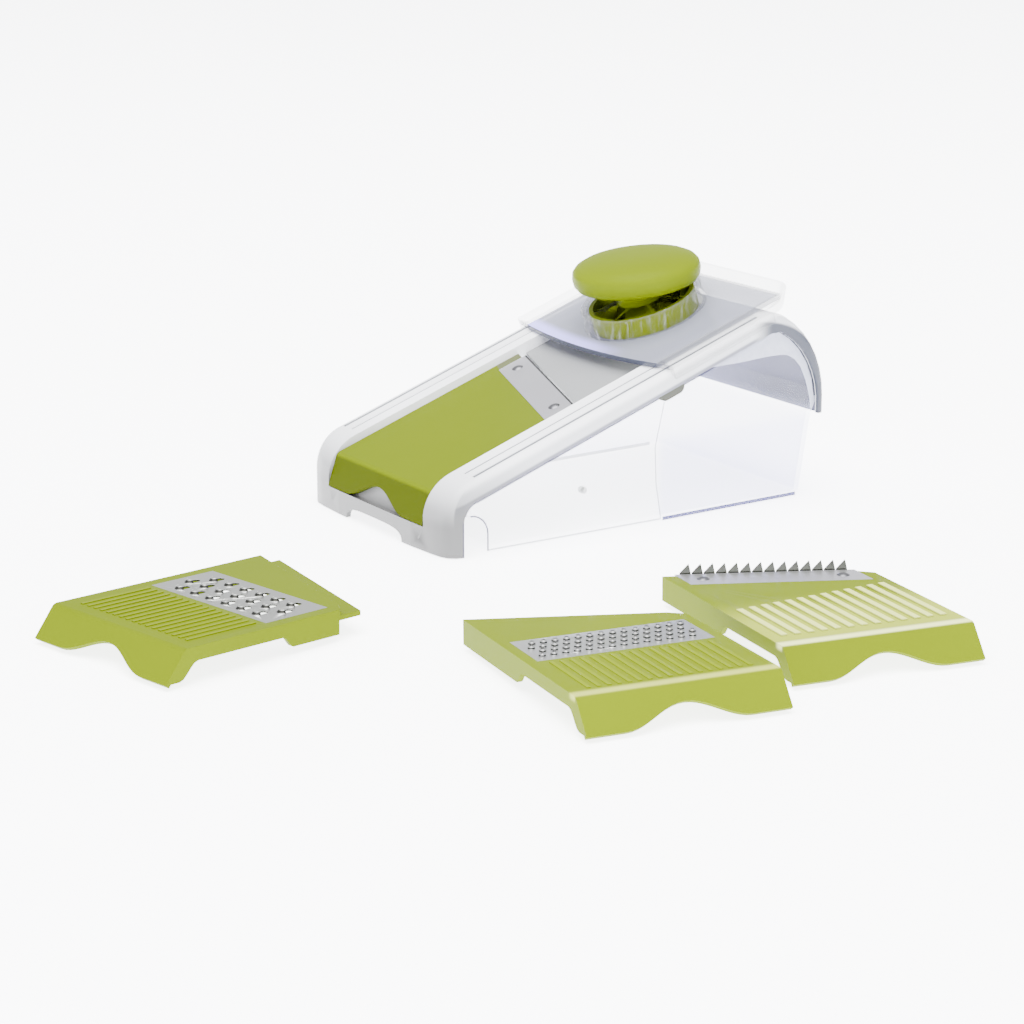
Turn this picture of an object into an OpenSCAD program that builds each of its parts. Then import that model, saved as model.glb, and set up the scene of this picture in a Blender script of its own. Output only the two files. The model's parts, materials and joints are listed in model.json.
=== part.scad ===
// Table-top mandoline slicer: an inclined frame that stands over a clear catch tub, a slicing
// insert, a hand guard with a round food pusher, and three spare inserts that lie beside it.
// +X runs from the low front foot to the high hood, +Y to the left of a user who looks that way.
// The origin is on the table, in the middle of the slicer's own footprint.

/* [Frame] */
// Width over the two rails
frame_w = 120; // [114:1:130]
// Length from the front wall to the back of the hood
frame_l = 202; // [200:1:215]
// Slope of the rails, in degrees
incline = 19.3; // [18:0.1:21]
// Height of the rail line above the table, at the front of the frame
rail_z = 28.5; // [27:0.5:31]
// Wall of the frame
frame_t = 2.2; // [2:0.1:2.6]
// Depth of the skirt that hangs from each rail
skirt_d = 8.6; // [8:0.1:11]
// Depth of the skirt where it dies out at the hood's lower edge
skirt_end_d = 3.6; // [3.4:0.1:5]
// Radius of the nose, seen from the side
nose_r = 18; // [16:0.5:20]
// Radius of the first bend of the hood
hood_r = 16; // [14:1:20]
// Radius of the long bend down the back of the hood
back_r = 45; // [38:1:48]
// Slope of the hood where its two bends meet, in degrees
hood_turn = 30; // [24:1:36]
// Height of the hood's lower edge above the table
hood_z = 38.6; // [32:1:46]
// Rounding between the rail tops and the skirts
rail_r = 3.4; // [3.2:0.1:4]
// Rounding of the frame's two front corners
corner_r = 6.4; // [4:0.1:6.5]
// How far the front wall bows out in its middle
front_bow = 3.2; // [2:0.2:4]
// Width of the arch under the front wall
arch_w = 48; // [30:1:60]
// Height of the arch under the front wall
arch_h = 5.5; // [4.5:0.5:6]
// Depth of the runner groove along each rail
groove_d = 1; // [0.8:0.1:1.4]
// Width of the runner groove along each rail
groove_w = 2; // [1.6:0.1:2.4]
// Distance of the runner groove from the rail's outer side
groove_in = 4.8; // [4.6:0.1:5.5]
// Distance between the runner groove and the fine groove beside it
groove_pitch = 6.8; // [5:0.2:8]
// Place of the catches, as a share of the straight rail
catch_share = 0.676; // [0.6:0.01:0.74]
// Length of each moulded catch under the rails
catch_l = 14; // [8:0.5:16]
// Drop of each catch below the skirt
catch_h = 3.4; // [3:0.1:7]

/* [Inserts] */
// Width of an insert
insert_w = 81; // [76:0.5:83]
// Length of an insert along its middle, from the front fold to the slanted end
insert_l = 91; // [88:0.5:94]
// Slant of the rear end, in degrees
slant = 17.5; // [14:0.5:20]
// Wall of an insert
insert_t = 2; // [1.6:0.1:2.4]
// Depth of an insert's top below the rails
recess_d = 3.2; // [2.8:0.1:4]
// Distance from the foot of the rail line to the insert's front fold
fold_s = 0.9; // [0.5:0.1:3]
// Lean of the front flap away from the square, in degrees
flap_lean = 37.7; // [35:0.1:40]
// Length of the front flap
flap_l = 15.4; // [14:0.2:16]
// Radius of the front fold
fold_r = 3; // [2.5:0.1:4]
// Depth of the side skirts along the front half
side_front_d = 5.5; // [5:0.1:6.5]
// Depth of the side skirts along the rear half
side_rear_d = 10; // [8:0.1:11]
// Place of the step between the two skirt depths
side_step = 47; // [42:1:52]
// Width of the wave cut in the front flap
wave_w = 50; // [36:1:56]
// Height of the wave cut in the front flap
wave_h = 8.2; // [6:0.2:9.5]

/* [Blades] */
// Width of a slicing blade along the insert
blade_w = 16; // [12:0.5:18]
// Span of a slicing blade across the insert
blade_span = 70; // [60:1:72]
// Thickness of a slicing blade
blade_t = 0.8; // [0.6:0.05:1]
// Overhang of the blade past the insert's slanted end
blade_over = 2.4; // [1.5:0.1:3]
// Width of the ground bevel
bevel_w = 1.6; // [1:0.1:2]
// Distance of each rivet from the middle
rivet_y = 27; // [20:0.5:29]
// Shank diameter of a rivet
rivet_d = 3; // [2.5:0.1:3.5]
// Head diameter of a rivet
rivet_head_d = 5.4; // [4.5:0.1:6.5]
// Height of a rivet's domed head
rivet_head_h = 0.9; // [0.6:0.1:1.1]
// Thickness of a grating plate
plate_t = 0.6; // [0.5:0.05:0.8]
// Place of a grating plate's front edge, as a share of the insert's length
grate_from = 0.4725; // [0.46:0.0025:0.49]
// Place of the coarse plate's rear edge, as a share of the insert's length
coarse_to = 0.813; // [0.79:0.001:0.82]
// Place of the fine plate's rear edge, as a share of the insert's length
fine_to = 0.758; // [0.74:0.001:0.78]
// Width of the ledge that carries a grating plate
plate_lap = 2; // [1.5:0.1:3]
// Length of a coarse hole
coarse_hole_l = 6.4; // [5:0.1:7]
// Width of a coarse hole
coarse_hole_w = 3.4; // [2.6:0.1:4]
// Height of a coarse tooth
coarse_tooth_h = 1.4; // [1:0.1:1.8]
// Bore of a fine tooth
fine_hole_d = 1.5; // [1:0.1:1.8]
// Height of a fine tooth
fine_tooth_h = 1.1; // [0.8:0.1:1.4]
// Number of comb teeth
comb_count = 14; // [10:1:14]
// Pitch of the comb teeth
comb_pitch = 4.9; // [4.6:0.1:5.1]
// Height of the comb teeth above the insert
comb_h = 4; // [3:0.1:5]
// Thickness of the comb strip
comb_t = 0.5; // [0.4:0.05:0.6]

/* [Runway] */
// Drop from the insert to the runway, which is the slice thickness
slice_t = 1.8; // [1:0.1:2]
// Thickness of the runway plate
runway_t = 2; // [1.6:0.1:2.4]
// Distance along the rails from the blade's edge to the runway's front edge
throat = 1.8; // [1.2:0.1:3]
// Distance from the runway's end to the hood's first bend
runway_short = 2; // [2:0.5:6]

/* [Guard] */
// Reach of the guard's rear edge past the hood's first bend
guard_over = 15.9; // [14:0.1:18]
// Length of the guard plate
guard_l = 70.5; // [66:0.5:74]
// Thickness of the guard plate
guard_t = 2.2; // [1.8:0.1:2.6]
// How far the guard's front edge bows out in its middle
guard_bow = 6; // [2:0.5:7]
// Depth of the side flanges below the rail tops
flange_d = 4; // [3:0.1:6]
// Height of the rear lip above the rail tops
lip_h = 8; // [6:0.2:10]
// Lean of the rear lip over its height
lip_lean = 3; // [2:0.2:4]
// Radius of the guard's rear corners
guard_r = 12; // [9:0.5:14]
// Distance from the guard's front edge to the cup's axis
cup_in = 31.5; // [31:0.5:34]
// Outer diameter of the cup at its foot
cup_d = 59; // [58:0.5:61]
// Height of the cup
cup_h = 11; // [9.5:0.5:13]
// Wall of the cup
cup_t = 2; // [1.6:0.1:2.2]
// How much the cup narrows towards its rim, on its radius
cup_taper = 1.6; // [0.8:0.1:1.8]

/* [Pusher] */
// Diameter of the knob
knob_d = 59.5; // [56:0.5:64]
// Thickness of the knob
knob_h = 15; // [13:0.5:17]
// Lean of the knob back from the neck, in degrees, which brings it near level in the hand
knob_lean = 11; // [8:1:13]
// Distance of the knob's middle from the neck's axis, towards the hood
knob_set = 1.5; // [0:0.5:2]
// Diameter of the neck
neck_d = 19; // [14:0.5:22]
// Diameter of the lower disc
disc_d = 50; // [48:0.5:50.4]
// Height of the lower disc
disc_h = 9.5; // [8:0.5:10.5]
// Wall and floor of the lower disc
disc_t = 2; // [1.6:0.1:2.4]
// Height of the disc's underside above the rail tops
disc_n = 1.2; // [1:0.1:1.6]
// Number of holding pins
pin_count = 12; // [8:1:16]
// Diameter of a holding pin
pin_d = 1.2; // [1:0.1:1.4]
// Length of a holding pin below the disc
pin_l = 2.8; // [2:0.1:3]
// Shank diameter of the screw up the neck
screw_d = 3.5; // [3:0.1:4]
// Length of the screw's shank
screw_l = 16; // [13:0.5:18]

/* [Tub] */
// Distance from the frame's front wall to the tub's front wall
tub_front = 20; // [19:0.5:22]
// Distance from the hood's back to the tub's rear edge on the table
tub_rear = 9; // [8:0.5:12]
// Wall of the tub
tub_t = 2; // [1.6:0.1:2.2]
// Height at which the front wall starts to curve forward
flare_z = 8; // [7:0.5:8.5]
// Radius of the front wall's curve
flare_r = 8.5; // [8:0.5:9]
// Lap of the tub's side walls inside the skirts
tub_lap = 3; // [2.5:0.1:3.2]
// Lap of the tub's rear wall inside the hood
rear_lap = 11; // [6:0.5:14]
// Radius of the tub's rear corners
tub_r = 6; // [4:0.5:8]

/* [Spares] */
// Place of the coarse insert's middle, from the middle of the slicer
coarse_place = [-231, -97]; // [-300:1:-60]
// Heading of the coarse insert
coarse_heading = 12; // [0:1:40]
// Place of the fine insert's middle
fine_place = [-127, -232]; // [-300:1:-20]
// Heading of the fine insert
fine_heading = 80; // [60:1:90]
// Place of the julienne insert's middle
julienne_place = [-31, -228]; // [-300:1:20]
// Heading of the julienne insert
julienne_heading = 79; // [60:1:90]

/* [Fits] */
// Clearance between pieces that lift apart
gap = 0.3; // [0.3:0.05:0.4]
// Clearance at each side of an insert in its channel
side_gap = 0.5; // [0.4:0.05:0.8]
// Clearance between the tub's sides and the frame's skirts
tub_gap = 0.8; // [0.5:0.1:1]
// Radial clearance of rivets, pins and the screw in their holes
fit_gap = 0.04; // [0.03:0.01:0.06]

/* [Hidden] */

$fn = 64;
front_x = 0;                          // face of the front wall, at its corners
back_x = front_x + frame_l;           // back of the hood
foot_mid = (front_x + back_x - tub_rear) / 2;
half_w = frame_w / 2;
insert_half = insert_w / 2;
channel_half = insert_half + side_gap;
wall_half = channel_half + frame_t;   // outer side of the channel walls
tub_half = half_w - frame_t - tub_gap;
LIME = [0.62, 0.66, 0.10];
WHITE = [0.93, 0.93, 0.95];
CLEAR = [0.85, 0.88, 0.97, 0.45];
STEEL = [0.75, 0.75, 0.76];

// ---------------------------------------------------------------- rail line, seen from the side
// A station is [x, z, heading]. The outward side of a heading is to its left.
function outward(h) = [-sin(h), cos(h)];
function bend(c, r, h0, h1, n) =
    [for (i = [0:n]) let (h = h0 + (h1 - h0) * i / n) concat(c + r * outward(h), [h])];

nose_c = [front_x + nose_r,
          rail_z + (front_x + nose_r) * tan(incline) - nose_r / cos(incline)];
hood_x = back_x - hood_r * (sin(incline) + sin(hood_turn)) - back_r * (1 - sin(hood_turn));
hood_c = [hood_x, rail_z + hood_x * tan(incline)] - hood_r * outward(incline);
back_c = hood_c + (hood_r - back_r) * outward(-hood_turn);
hood_s = hood_x / cos(incline);       // where the straight rail ends
runway_end = hood_s - runway_short;
guard_s = hood_s + guard_over - guard_l;
catch_s = catch_share * hood_s;
far = 2 * frame_l;                    // reaches past the whole slicer

nose_line = bend(nose_c, nose_r, 90, incline, 8);
hood_line = concat(bend(hood_c, hood_r, incline, -hood_turn, 5),
                   [for (i = [1:7]) bend(back_c, back_r, -hood_turn, -90, 7)[i]]);
rail_line = concat([[front_x, 0, 90], [front_x, nose_c[1] / 2, 90]],
                   nose_line, hood_line, [[back_x, hood_z, -90]]);

// Share of the turn from the rail slope to the upright front wall, and to the upright back
function nose_share(h) = h > incline ? (h - incline) / (90 - incline) : 0;
function back_share(h) = h < -10 ? (-10 - h) / 80 : 0;
function skirt_at(h) = skirt_d - 2 * nose_share(h) - (skirt_d - skirt_end_d) * back_share(h);
function round_at(h) = rail_r + (corner_r - rail_r) * nose_share(h)
                       - (rail_r - frame_t - 0.4) * back_share(h);
function tub_depth_at(h) = (skirt_d - 2 * nose_share(h) - tub_lap) * (1 - back_share(h))
                           + (frame_t + gap) * back_share(h);

// ---------------------------------------------------------------- small helpers
// Puts children on the rail line: x along it, z square to it, zero at the rail tops
module on_rails() { translate([0, 0, rail_z]) rotate([0, -incline, 0]) children(); }
// Puts children in the working insert's place
module in_channel() { on_rails() translate([fold_s, 0, -recess_d]) children(); }
// Extrudes a side view from y0 to y1
module slab(pts, y0, y1) {
    translate([0, y1, 0]) rotate([90, 0, 0]) linear_extrude(y1 - y0) polygon(pts);
}
// The same side view at both sides of the middle
module slabs(pts, y0, y1) { slab(pts, y0, y1); slab(pts, -y1, -y0); }
module recentre() { translate([-foot_mid, 0, 0]) children(); }

// ---------------------------------------------------------------- frame
// One side of the frame's section as [y, depth], from the skirt's edge to the middle
function half_section(h, inset) =
    let (r = round_at(h), q = r - inset)
    concat([[half_w - inset, skirt_at(h)]],
           [for (a = [0:30:90]) [half_w - r + q * cos(a), r - q * sin(a)]],
           [for (f = [0.78, 0.52, 0.26, 0]) [half_w * f, inset]]);
function section(h, inset) =
    let (s = half_section(h, inset), n = len(s))
    concat([for (p = s) p], [for (i = [n - 2:-1:0]) [-s[i][0], s[i][1]]]);
function bow_at(h, y) = front_bow * nose_share(h) * (1 - pow(abs(y) / half_w, 4));
function ring(st, inset) =
    [for (p = section(st[2], inset))
        let (q = [st[0], st[1]] - p[1] * outward(st[2]))
        [q[0] - bow_at(st[2], p[0]), p[0], q[1]]];

// The bent channel that makes the rails, the nose, the hood and their skirts
module rail_shell() {
    n = len(section(0, 0));
    k = len(rail_line);
    outer = [for (st = rail_line) each ring(st, 0)];
    inner = [for (st = rail_line) each ring(st, frame_t)];
    m = n * k;
    function quad(a, b, c, d) = [[a, c, b], [a, d, c]];
    faces = concat(
        [for (j = [0:k - 2], i = [0:n - 2]) let (a = j * n + i)
            each quad(a, a + 1, a + n + 1, a + n)],
        [for (j = [0:k - 2], i = [0:n - 2]) let (a = m + j * n + i)
            each quad(a, a + n, a + n + 1, a + 1)],
        [for (j = [0:k - 2]) let (a = j * n) each quad(a, a + n, m + a + n, m + a)],
        [for (j = [0:k - 2]) let (a = j * n + n - 1) each quad(a, m + a, m + a + n, a + n)],
        [for (i = [0:n - 2]) each quad(i, m + i, m + i + 1, i + 1)],
        [for (i = [0:n - 2]) let (a = (k - 1) * n + i) each quad(a, a + 1, m + a + 1, m + a)]
    );
    polyhedron(concat(outer, inner), faces);
}

// Space under the rail line, a little inside its surface, which trims the inner walls
module under_rails(inset) {
    pts = [for (st = rail_line) [st[0], st[1]] - inset * outward(st[2])];
    slab(concat(pts, [[back_x - inset, 0]]), -half_w, half_w);
}

// Side view of the front flap's planes in the insert's own frame: t along the flap, d behind it
function flap_pt(t, d) = [-t * sin(flap_lean) + d * cos(flap_lean),
                          -t * cos(flap_lean) - d * sin(flap_lean)];
function flap_at(n, d) = flap_pt((-n - d * sin(flap_lean)) / cos(flap_lean), d);

front_ledge = side_front_d + gap;     // depth of the ledges below the insert's top
rear_ledge = side_rear_d + gap;
insert_long = insert_l + insert_half * tan(slant);
insert_short = insert_l - insert_half * tan(slant);
leg_back = 6;                         // where the front legs have run out
ledge_end = insert_long + blade_over + throat;
runway_d = slice_t + runway_t;        // underside of the runway below the insert's top
runway_back = runway_end - fold_s;

module channel_walls() {
    low_front = -front_ledge - insert_t;
    low_rear = -rear_ledge - insert_t;
    wall = [[-6, recess_d], [runway_back + frame_t, recess_d],
            [runway_back + frame_t, -runway_d - 4], [ledge_end, -runway_d - 4],
            [ledge_end, low_rear], [side_step - insert_t, low_rear],
            [side_step - insert_t, low_front], [-6, low_front]];
    slabs(wall, channel_half, wall_half);
    ledge = [[leg_back + 4, -front_ledge], [side_step, -front_ledge], [side_step, -rear_ledge],
             [ledge_end, -rear_ledge], [ledge_end, low_rear], [side_step - insert_t, low_rear],
             [side_step - insert_t, low_front], [leg_back + 4, low_front]];
    slabs(ledge, insert_half - 3, wall_half);
    runway_ledge = [[ledge_end, -runway_d], [runway_back + 1, -runway_d],
                    [runway_back + 1, -runway_d - 2], [ledge_end, -runway_d - 2]];
    slabs(runway_ledge, insert_half - 4, wall_half);
    end_wall = [[runway_back, recess_d], [runway_back + frame_t, recess_d],
                [runway_back + frame_t, -runway_d - 4], [runway_back, -runway_d - 4]];
    slab(end_wall, -wall_half, wall_half);
}

module front_panel() {
    d0 = insert_t + gap;
    d1 = d0 + frame_t;
    top = -insert_t - gap;
    slab([flap_at(top, d0), flap_at(top, d1), flap_pt(flap_l + 6, d1), flap_pt(flap_l + 6, d0)],
         -insert_half + insert_t + side_gap, insert_half - insert_t - side_gap);
}

// Room for the insert, its flap and the runway, cut through the rail shell
module channel_cut() {
    d0 = insert_t + gap;
    top = -insert_t - gap + 0.01;
    slab([flap_pt(flap_l + gap, d0), flap_at(top, d0), [runway_back, top], [runway_back, 20],
          [-30, 20], flap_pt(flap_l + gap, -12)],
         -channel_half, channel_half);
}

module rail_grooves() {
    s0 = nose_r - 3;
    s1 = hood_s - 1;
    for (side = [-1, 1]) {
        translate([s0, side * (half_w - groove_in) - groove_w / 2, -groove_d])
            cube([s1 - s0, groove_w, 4]);
        translate([s0, side * (half_w - groove_in - groove_pitch) - 0.6, -0.6])
            cube([s1 - s0, 1.2, 4]);
    }
}

module frame_shell() {
    color(WHITE) recentre() difference() {
        union() {
            rail_shell();
            intersection() {
                under_rails(1);
                in_channel() channel_walls();
            }
            in_channel() front_panel();
        }
        in_channel() channel_cut();
        on_rails() rail_grooves();
        translate([front_x - 8, 0, 0]) rotate([90, 0, 90]) linear_extrude(16)
            polygon(concat([[-arch_w / 2, -1], [arch_w / 2, -1]],
                           [for (a = [0:10:180])
                               [arch_w / 2 * sign(cos(a)) * pow(abs(cos(a)), 0.5),
                                arch_h * pow(sin(a), 0.7)]]));
    }
}

// A moulded catch under each rail that steadies the tub's side
module catch_profile(top) {
    r = catch_h;
    polygon(concat(
        [[-catch_l / 2, top], [catch_l / 2, top]],
        [for (a = [0:-15:-90]) [catch_l / 2 - r + r * cos(a), r * sin(a)]],
        [for (a = [-90:-15:-180]) [r - catch_l / 2 + r * cos(a), r * sin(a)]]));
}
module side_catches() {
    color([0.62, 0.63, 0.58]) recentre() on_rails() for (side = [-1, 1])
        translate([catch_s, side * (tub_half + gap), -skirt_d]) rotate([90, 0, 0])
            mirror([0, 0, side > 0 ? 1 : 0]) {
                linear_extrude(tub_gap - gap - 0.05) catch_profile(3);
                linear_extrude(half_w - tub_half - gap - 0.2) catch_profile(0);
            }
}

// ---------------------------------------------------------------- runway
function slant_u(u, y) = u + y * tan(slant);
runway_u = insert_l + (blade_over + throat);

module runway_plate() {
    h = channel_half - 0.1;
    color([0.86, 0.86, 0.88]) recentre() in_channel() {
        translate([0, 0, -runway_d]) linear_extrude(runway_t)
            polygon([[slant_u(runway_u, -h), -h], [runway_back, -h], [runway_back, h],
                     [slant_u(runway_u, h), h]]);
        translate([0, 0, -runway_d - 3]) linear_extrude(3.2)
            polygon([for (p = [[12, -1], [14, -1], [14, 1], [12, 1]])
                let (y = p[1] * (insert_half - 4.5)) [slant_u(runway_u + p[0], y), y]]);
        for (y = [-24:12:24])
            translate([slant_u(runway_u + 14, y), y - 0.6, -runway_d - 2])
                cube([runway_back - slant_u(runway_u + 14, y), 1.2, 2.2]);
    }
}

// ---------------------------------------------------------------- inserts, in their own frame
// Origin at the corner of the front fold, +X to the slanted end, top face at z = 0.
fold_turn = 90 - flap_lean;
fold_c = [fold_r * tan(fold_turn / 2), -fold_r];
fold_start = [fold_c[0] + fold_r * cos(90 + fold_turn), fold_c[1] + fold_r * sin(90 + fold_turn)];
function fold_arc(r, a0, a1) =
    [for (i = [0:5]) let (a = a0 + (a1 - a0) * i / 5) fold_c + r * [cos(a), sin(a)]];
leg_n = -flap_l * cos(flap_lean);     // depth of the legs below the top

// Top plate and front flap as one bent sheet
module bent_sheet() {
    slab(concat([flap_pt(flap_l, 0)], fold_arc(fold_r, 90 + fold_turn, 90),
                [[insert_long + 5, 0], [insert_long + 5, -insert_t]],
                fold_arc(fold_r - insert_t, 90, 90 + fold_turn), [flap_pt(flap_l, insert_t)]),
         -insert_half, insert_half);
}

// Side skirt: a leg at the front, shallow to the step, deeper behind it
module side_skirts() {
    leg = concat(
        [flap_at(leg_n, 0), flap_at(-1, 0.5), [insert_long + 5, -0.5],
         [insert_long + 5, -side_rear_d], [side_step + 5, -side_rear_d]],
        [for (i = [0:4]) let (f = i / 4)
            [side_step + 5 - 5 * f,
             -side_rear_d + (side_rear_d - side_front_d) * (1 - cos(180 * f)) / 2]],
        [for (i = [0:5]) let (f = i / 5)
            [leg_back - (leg_back - flap_at(leg_n, 0)[0] - 6.5) * f,
             -side_front_d + (leg_n + side_front_d) * (1 - cos(180 * f)) / 2]]);
    slabs(leg, insert_half - insert_t, insert_half);
}

module wave_cut() {
    pts = [for (i = [0:20]) let (y = wave_w * (i / 20 - 0.5))
              [flap_l - wave_h * (1 + cos(360 * y / wave_w)) / 2, y]];
    notch = concat([[flap_l + 5, -wave_w / 2]], pts, [[flap_l + 5, wave_w / 2]]);
    rotate([0, 90 + flap_lean, 0]) translate([0, 0, -1])
        linear_extrude(insert_t + 3) polygon(notch);
}

module insert_outline() {
    c = 6;
    polygon([[-20, -insert_half], [insert_short - 3, -insert_half],
             [slant_u(insert_l, -insert_half + c), -insert_half + c],
             [insert_long, insert_half], [-20, insert_half]]);
}

module insert_blank() {
    difference() {
        intersection() {
            union() { bent_sheet(); side_skirts(); }
            translate([0, 0, -40]) linear_extrude(60) insert_outline();
        }
        wave_cut();
    }
}

// A strip across the insert that follows the slanted end, from u0 to u1 on the middle line
module slant_strip(u0, u1, span) {
    polygon([[slant_u(u0, -span / 2), -span / 2], [slant_u(u1, -span / 2), -span / 2],
             [slant_u(u1, span / 2), span / 2], [slant_u(u0, span / 2), span / 2]]);
}

blade_u = insert_l + blade_over;      // the cutting edge on the middle line
module at_rivets() {
    for (side = [-1, 1])
        translate([slant_u(blade_u - blade_w / 2, side * rivet_y), side * rivet_y, 0]) children();
}

module blade_seat() {
    translate([0, 0, -blade_t]) linear_extrude(5)
        slant_strip(blade_u - blade_w - 0.1, blade_u + 5, blade_span + 0.2);
    at_rivets() translate([0, 0, -5]) cylinder(d = rivet_d + 2 * fit_gap, h = 10, $fn = 32);
}

module steel_blade() {
    difference() {
        translate([0, 0, -blade_t]) linear_extrude(blade_t)
            slant_strip(blade_u - blade_w, blade_u, blade_span);
        translate([blade_u, 0, -blade_t]) rotate([0, 0, -slant])
            rotate([90, 0, 0]) linear_extrude(blade_span * 2, center = true)
                polygon([[-bevel_w, 0], [1, 0], [1, blade_t * 0.9 * (1 + 1 / bevel_w)]]);
        at_rivets() translate([0, 0, -5]) cylinder(d = rivet_d + 2 * fit_gap, h = 10, $fn = 32);
    }
}

// Dome of a given width and height, standing on z = 0
module dome(d, h) {
    r = (d * d / 4 + h * h) / (2 * h);
    a = asin(d / 2 / r);
    rotate_extrude($fn = 32)
        polygon(concat([[0, 0]], [for (i = [0:4]) [r * sin(a * (4 - i) / 4),
                                                   h - r + r * cos(a * (4 - i) / 4)]]));
}

module blade_rivets() {
    at_rivets() {
        dome(rivet_head_d, rivet_head_h);
        translate([0, 0, -insert_t]) cylinder(d = rivet_d, h = insert_t, $fn = 32);
        translate([0, 0, -insert_t]) mirror([0, 0, 1]) dome(rivet_head_d, rivet_head_h);
    }
}

// ---------------------------------------------------------------- slicing insert, in its place
module slicing_carrier() {
    color(LIME) recentre() in_channel() difference() { insert_blank(); blade_seat(); }
}
module slicing_blade() { color(STEEL) recentre() in_channel() steel_blade(); }
module slicing_rivets() { color(STEEL) recentre() in_channel() blade_rivets(); }

// ---------------------------------------------------------------- guard, on the rails
guard_half = half_w + gap + 0.1 + guard_t - 0.6;
cup_s = guard_s + cup_in;
guard_n = gap + 0.1;                  // underside of the plate above the rail tops
module guard_outline() {
    x1 = guard_s + guard_l;
    translate([guard_s, -guard_half]) square([guard_l - guard_r, 2 * guard_half]);
    polygon([for (i = [-8:8]) [guard_s + 0.01 - guard_bow * (1 - i * i / 64), i / 8 * guard_half]]);
    translate([x1 - guard_r - 1, -guard_half + guard_r])
        square([guard_r + 1, 2 * (guard_half - guard_r)]);
    for (side = [-1, 1]) translate([x1 - guard_r, side * (guard_half - guard_r)])
        circle(r = guard_r);
}

// Leaning lip around the rear, which dies out a short way down both sides
module guard_lip() {
    t = guard_t - 0.6;
    h = lip_h - guard_n;
    prof = [[-t, 0], [0, 0], [lip_lean, h], [lip_lean - t, h]];
    x1 = guard_s + guard_l - guard_r;
    y1 = guard_half - guard_r;
    intersection() {
        translate([0, 0, guard_n]) {
            for (side = [-1, 1]) {
                translate([x1, side * y1, 0]) rotate([0, 0, side > 0 ? 0 : -90])
                    rotate_extrude(angle = 90) translate([guard_r, 0]) polygon(prof);
                translate([x1 - 20, 0, 0]) rotate([90, 0, 90]) linear_extrude(20)
                    polygon([for (p = prof) [side * (guard_half + p[0]), p[1]]]);
            }
            slab([for (p = prof) [x1 + guard_r + p[0], p[1]]], -y1, y1);
        }
        slab([[x1 - 16, -1], [x1 + 30, -1], [x1 + 30, lip_h], [x1 + guard_r - 3, lip_h],
              [x1 + guard_r - 6, lip_h - 1.5], [x1 - 5, guard_n + guard_t + 1],
              [x1 - 16, guard_n + guard_t]], -half_w - 20, half_w + 20);
    }
}

module guard_plate() {
    r0 = cup_d / 2;
    color(CLEAR) recentre() on_rails() {
        difference() {
            union() {
                translate([0, 0, guard_n]) linear_extrude(guard_t) guard_outline();
                translate([0, 0, guard_n]) linear_extrude(guard_t + 1) intersection() {
                    guard_outline();
                    for (side = [-1, 1]) translate([guard_s, side > 0 ? half_w - 8 : -half_w - 8])
                        square([guard_l, 16]);
                }
                guard_lip();
            }
            translate([cup_s, 0, -2]) cylinder(r = r0 - cup_t, h = 8);
        }
        slabs([[guard_s, -flange_d], [guard_s + guard_l - guard_r, -flange_d],
               [guard_s + guard_l - guard_r, guard_n + 0.5], [guard_s, guard_n + 0.5]],
              guard_half - guard_t + 0.6, guard_half);
        for (side = [-1, 1])
            translate([guard_s + 4, side * (half_w - groove_in) - groove_w / 2 + gap, -groove_d + gap])
                cube([guard_l * 0.6, groove_w - 2 * gap, groove_d - gap + guard_n + 0.5]);
        translate([cup_s, 0, guard_n]) rotate_extrude()
            polygon([[r0 - cup_t, 0], [r0, 0], [r0 - cup_taper, cup_h - 1.2],
                     [r0 - cup_taper + 0.8, cup_h - 0.6], [r0 - cup_taper + 0.8, cup_h],
                     [r0 - cup_taper - cup_t, cup_h]]);
    }
}

// ---------------------------------------------------------------- pusher, on the cup's axis
disc_top = disc_n + disc_h;
// Middle of the knob, high enough for its lowest edge to clear the cup's rim
knob_c = guard_n + cup_h + 2 * gap + 0.85 * knob_d / 2 * sin(knob_lean)
         + knob_h / 2 * cos(knob_lean);
module on_cup() { on_rails() translate([cup_s, 0, 0]) children(); }

// Side view of the knob as shares of its radius and its thickness: flat below, blunt at the
// rim and domed on top
knob_side = [[0, -0.5], [0.84, -0.5], [0.93, -0.42], [0.985, -0.27], [1, -0.08], [0.985, 0.1],
             [0.93, 0.23], [0.82, 0.34], [0.66, 0.42], [0.46, 0.47], [0.24, 0.495], [0, 0.5]];
module pusher_knob() {
    neck_h = knob_c - disc_top - knob_h / 2;
    color(LIME) recentre() on_cup() difference() {
        union() {
            translate([knob_set, 0, knob_c]) rotate([0, knob_lean, 0]) rotate_extrude()
                polygon([for (p = knob_side) [p[0] * knob_d / 2, p[1] * knob_h]]);
            translate([0, 0, disc_top]) rotate_extrude()
                polygon([[0, 0], [neck_d / 2 + 1.5, 0], [neck_d / 2, 1.5],
                         [neck_d / 2, neck_h - 2.5], [neck_d / 2 + 2.5, neck_h],
                         [neck_d / 2 + 2.5, neck_h + 3], [0, neck_h + 3]]);
        }
        translate([0, 0, disc_n]) cylinder(d = screw_d + 2 * fit_gap, h = screw_l + 1, $fn = 32);
    }
}

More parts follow.
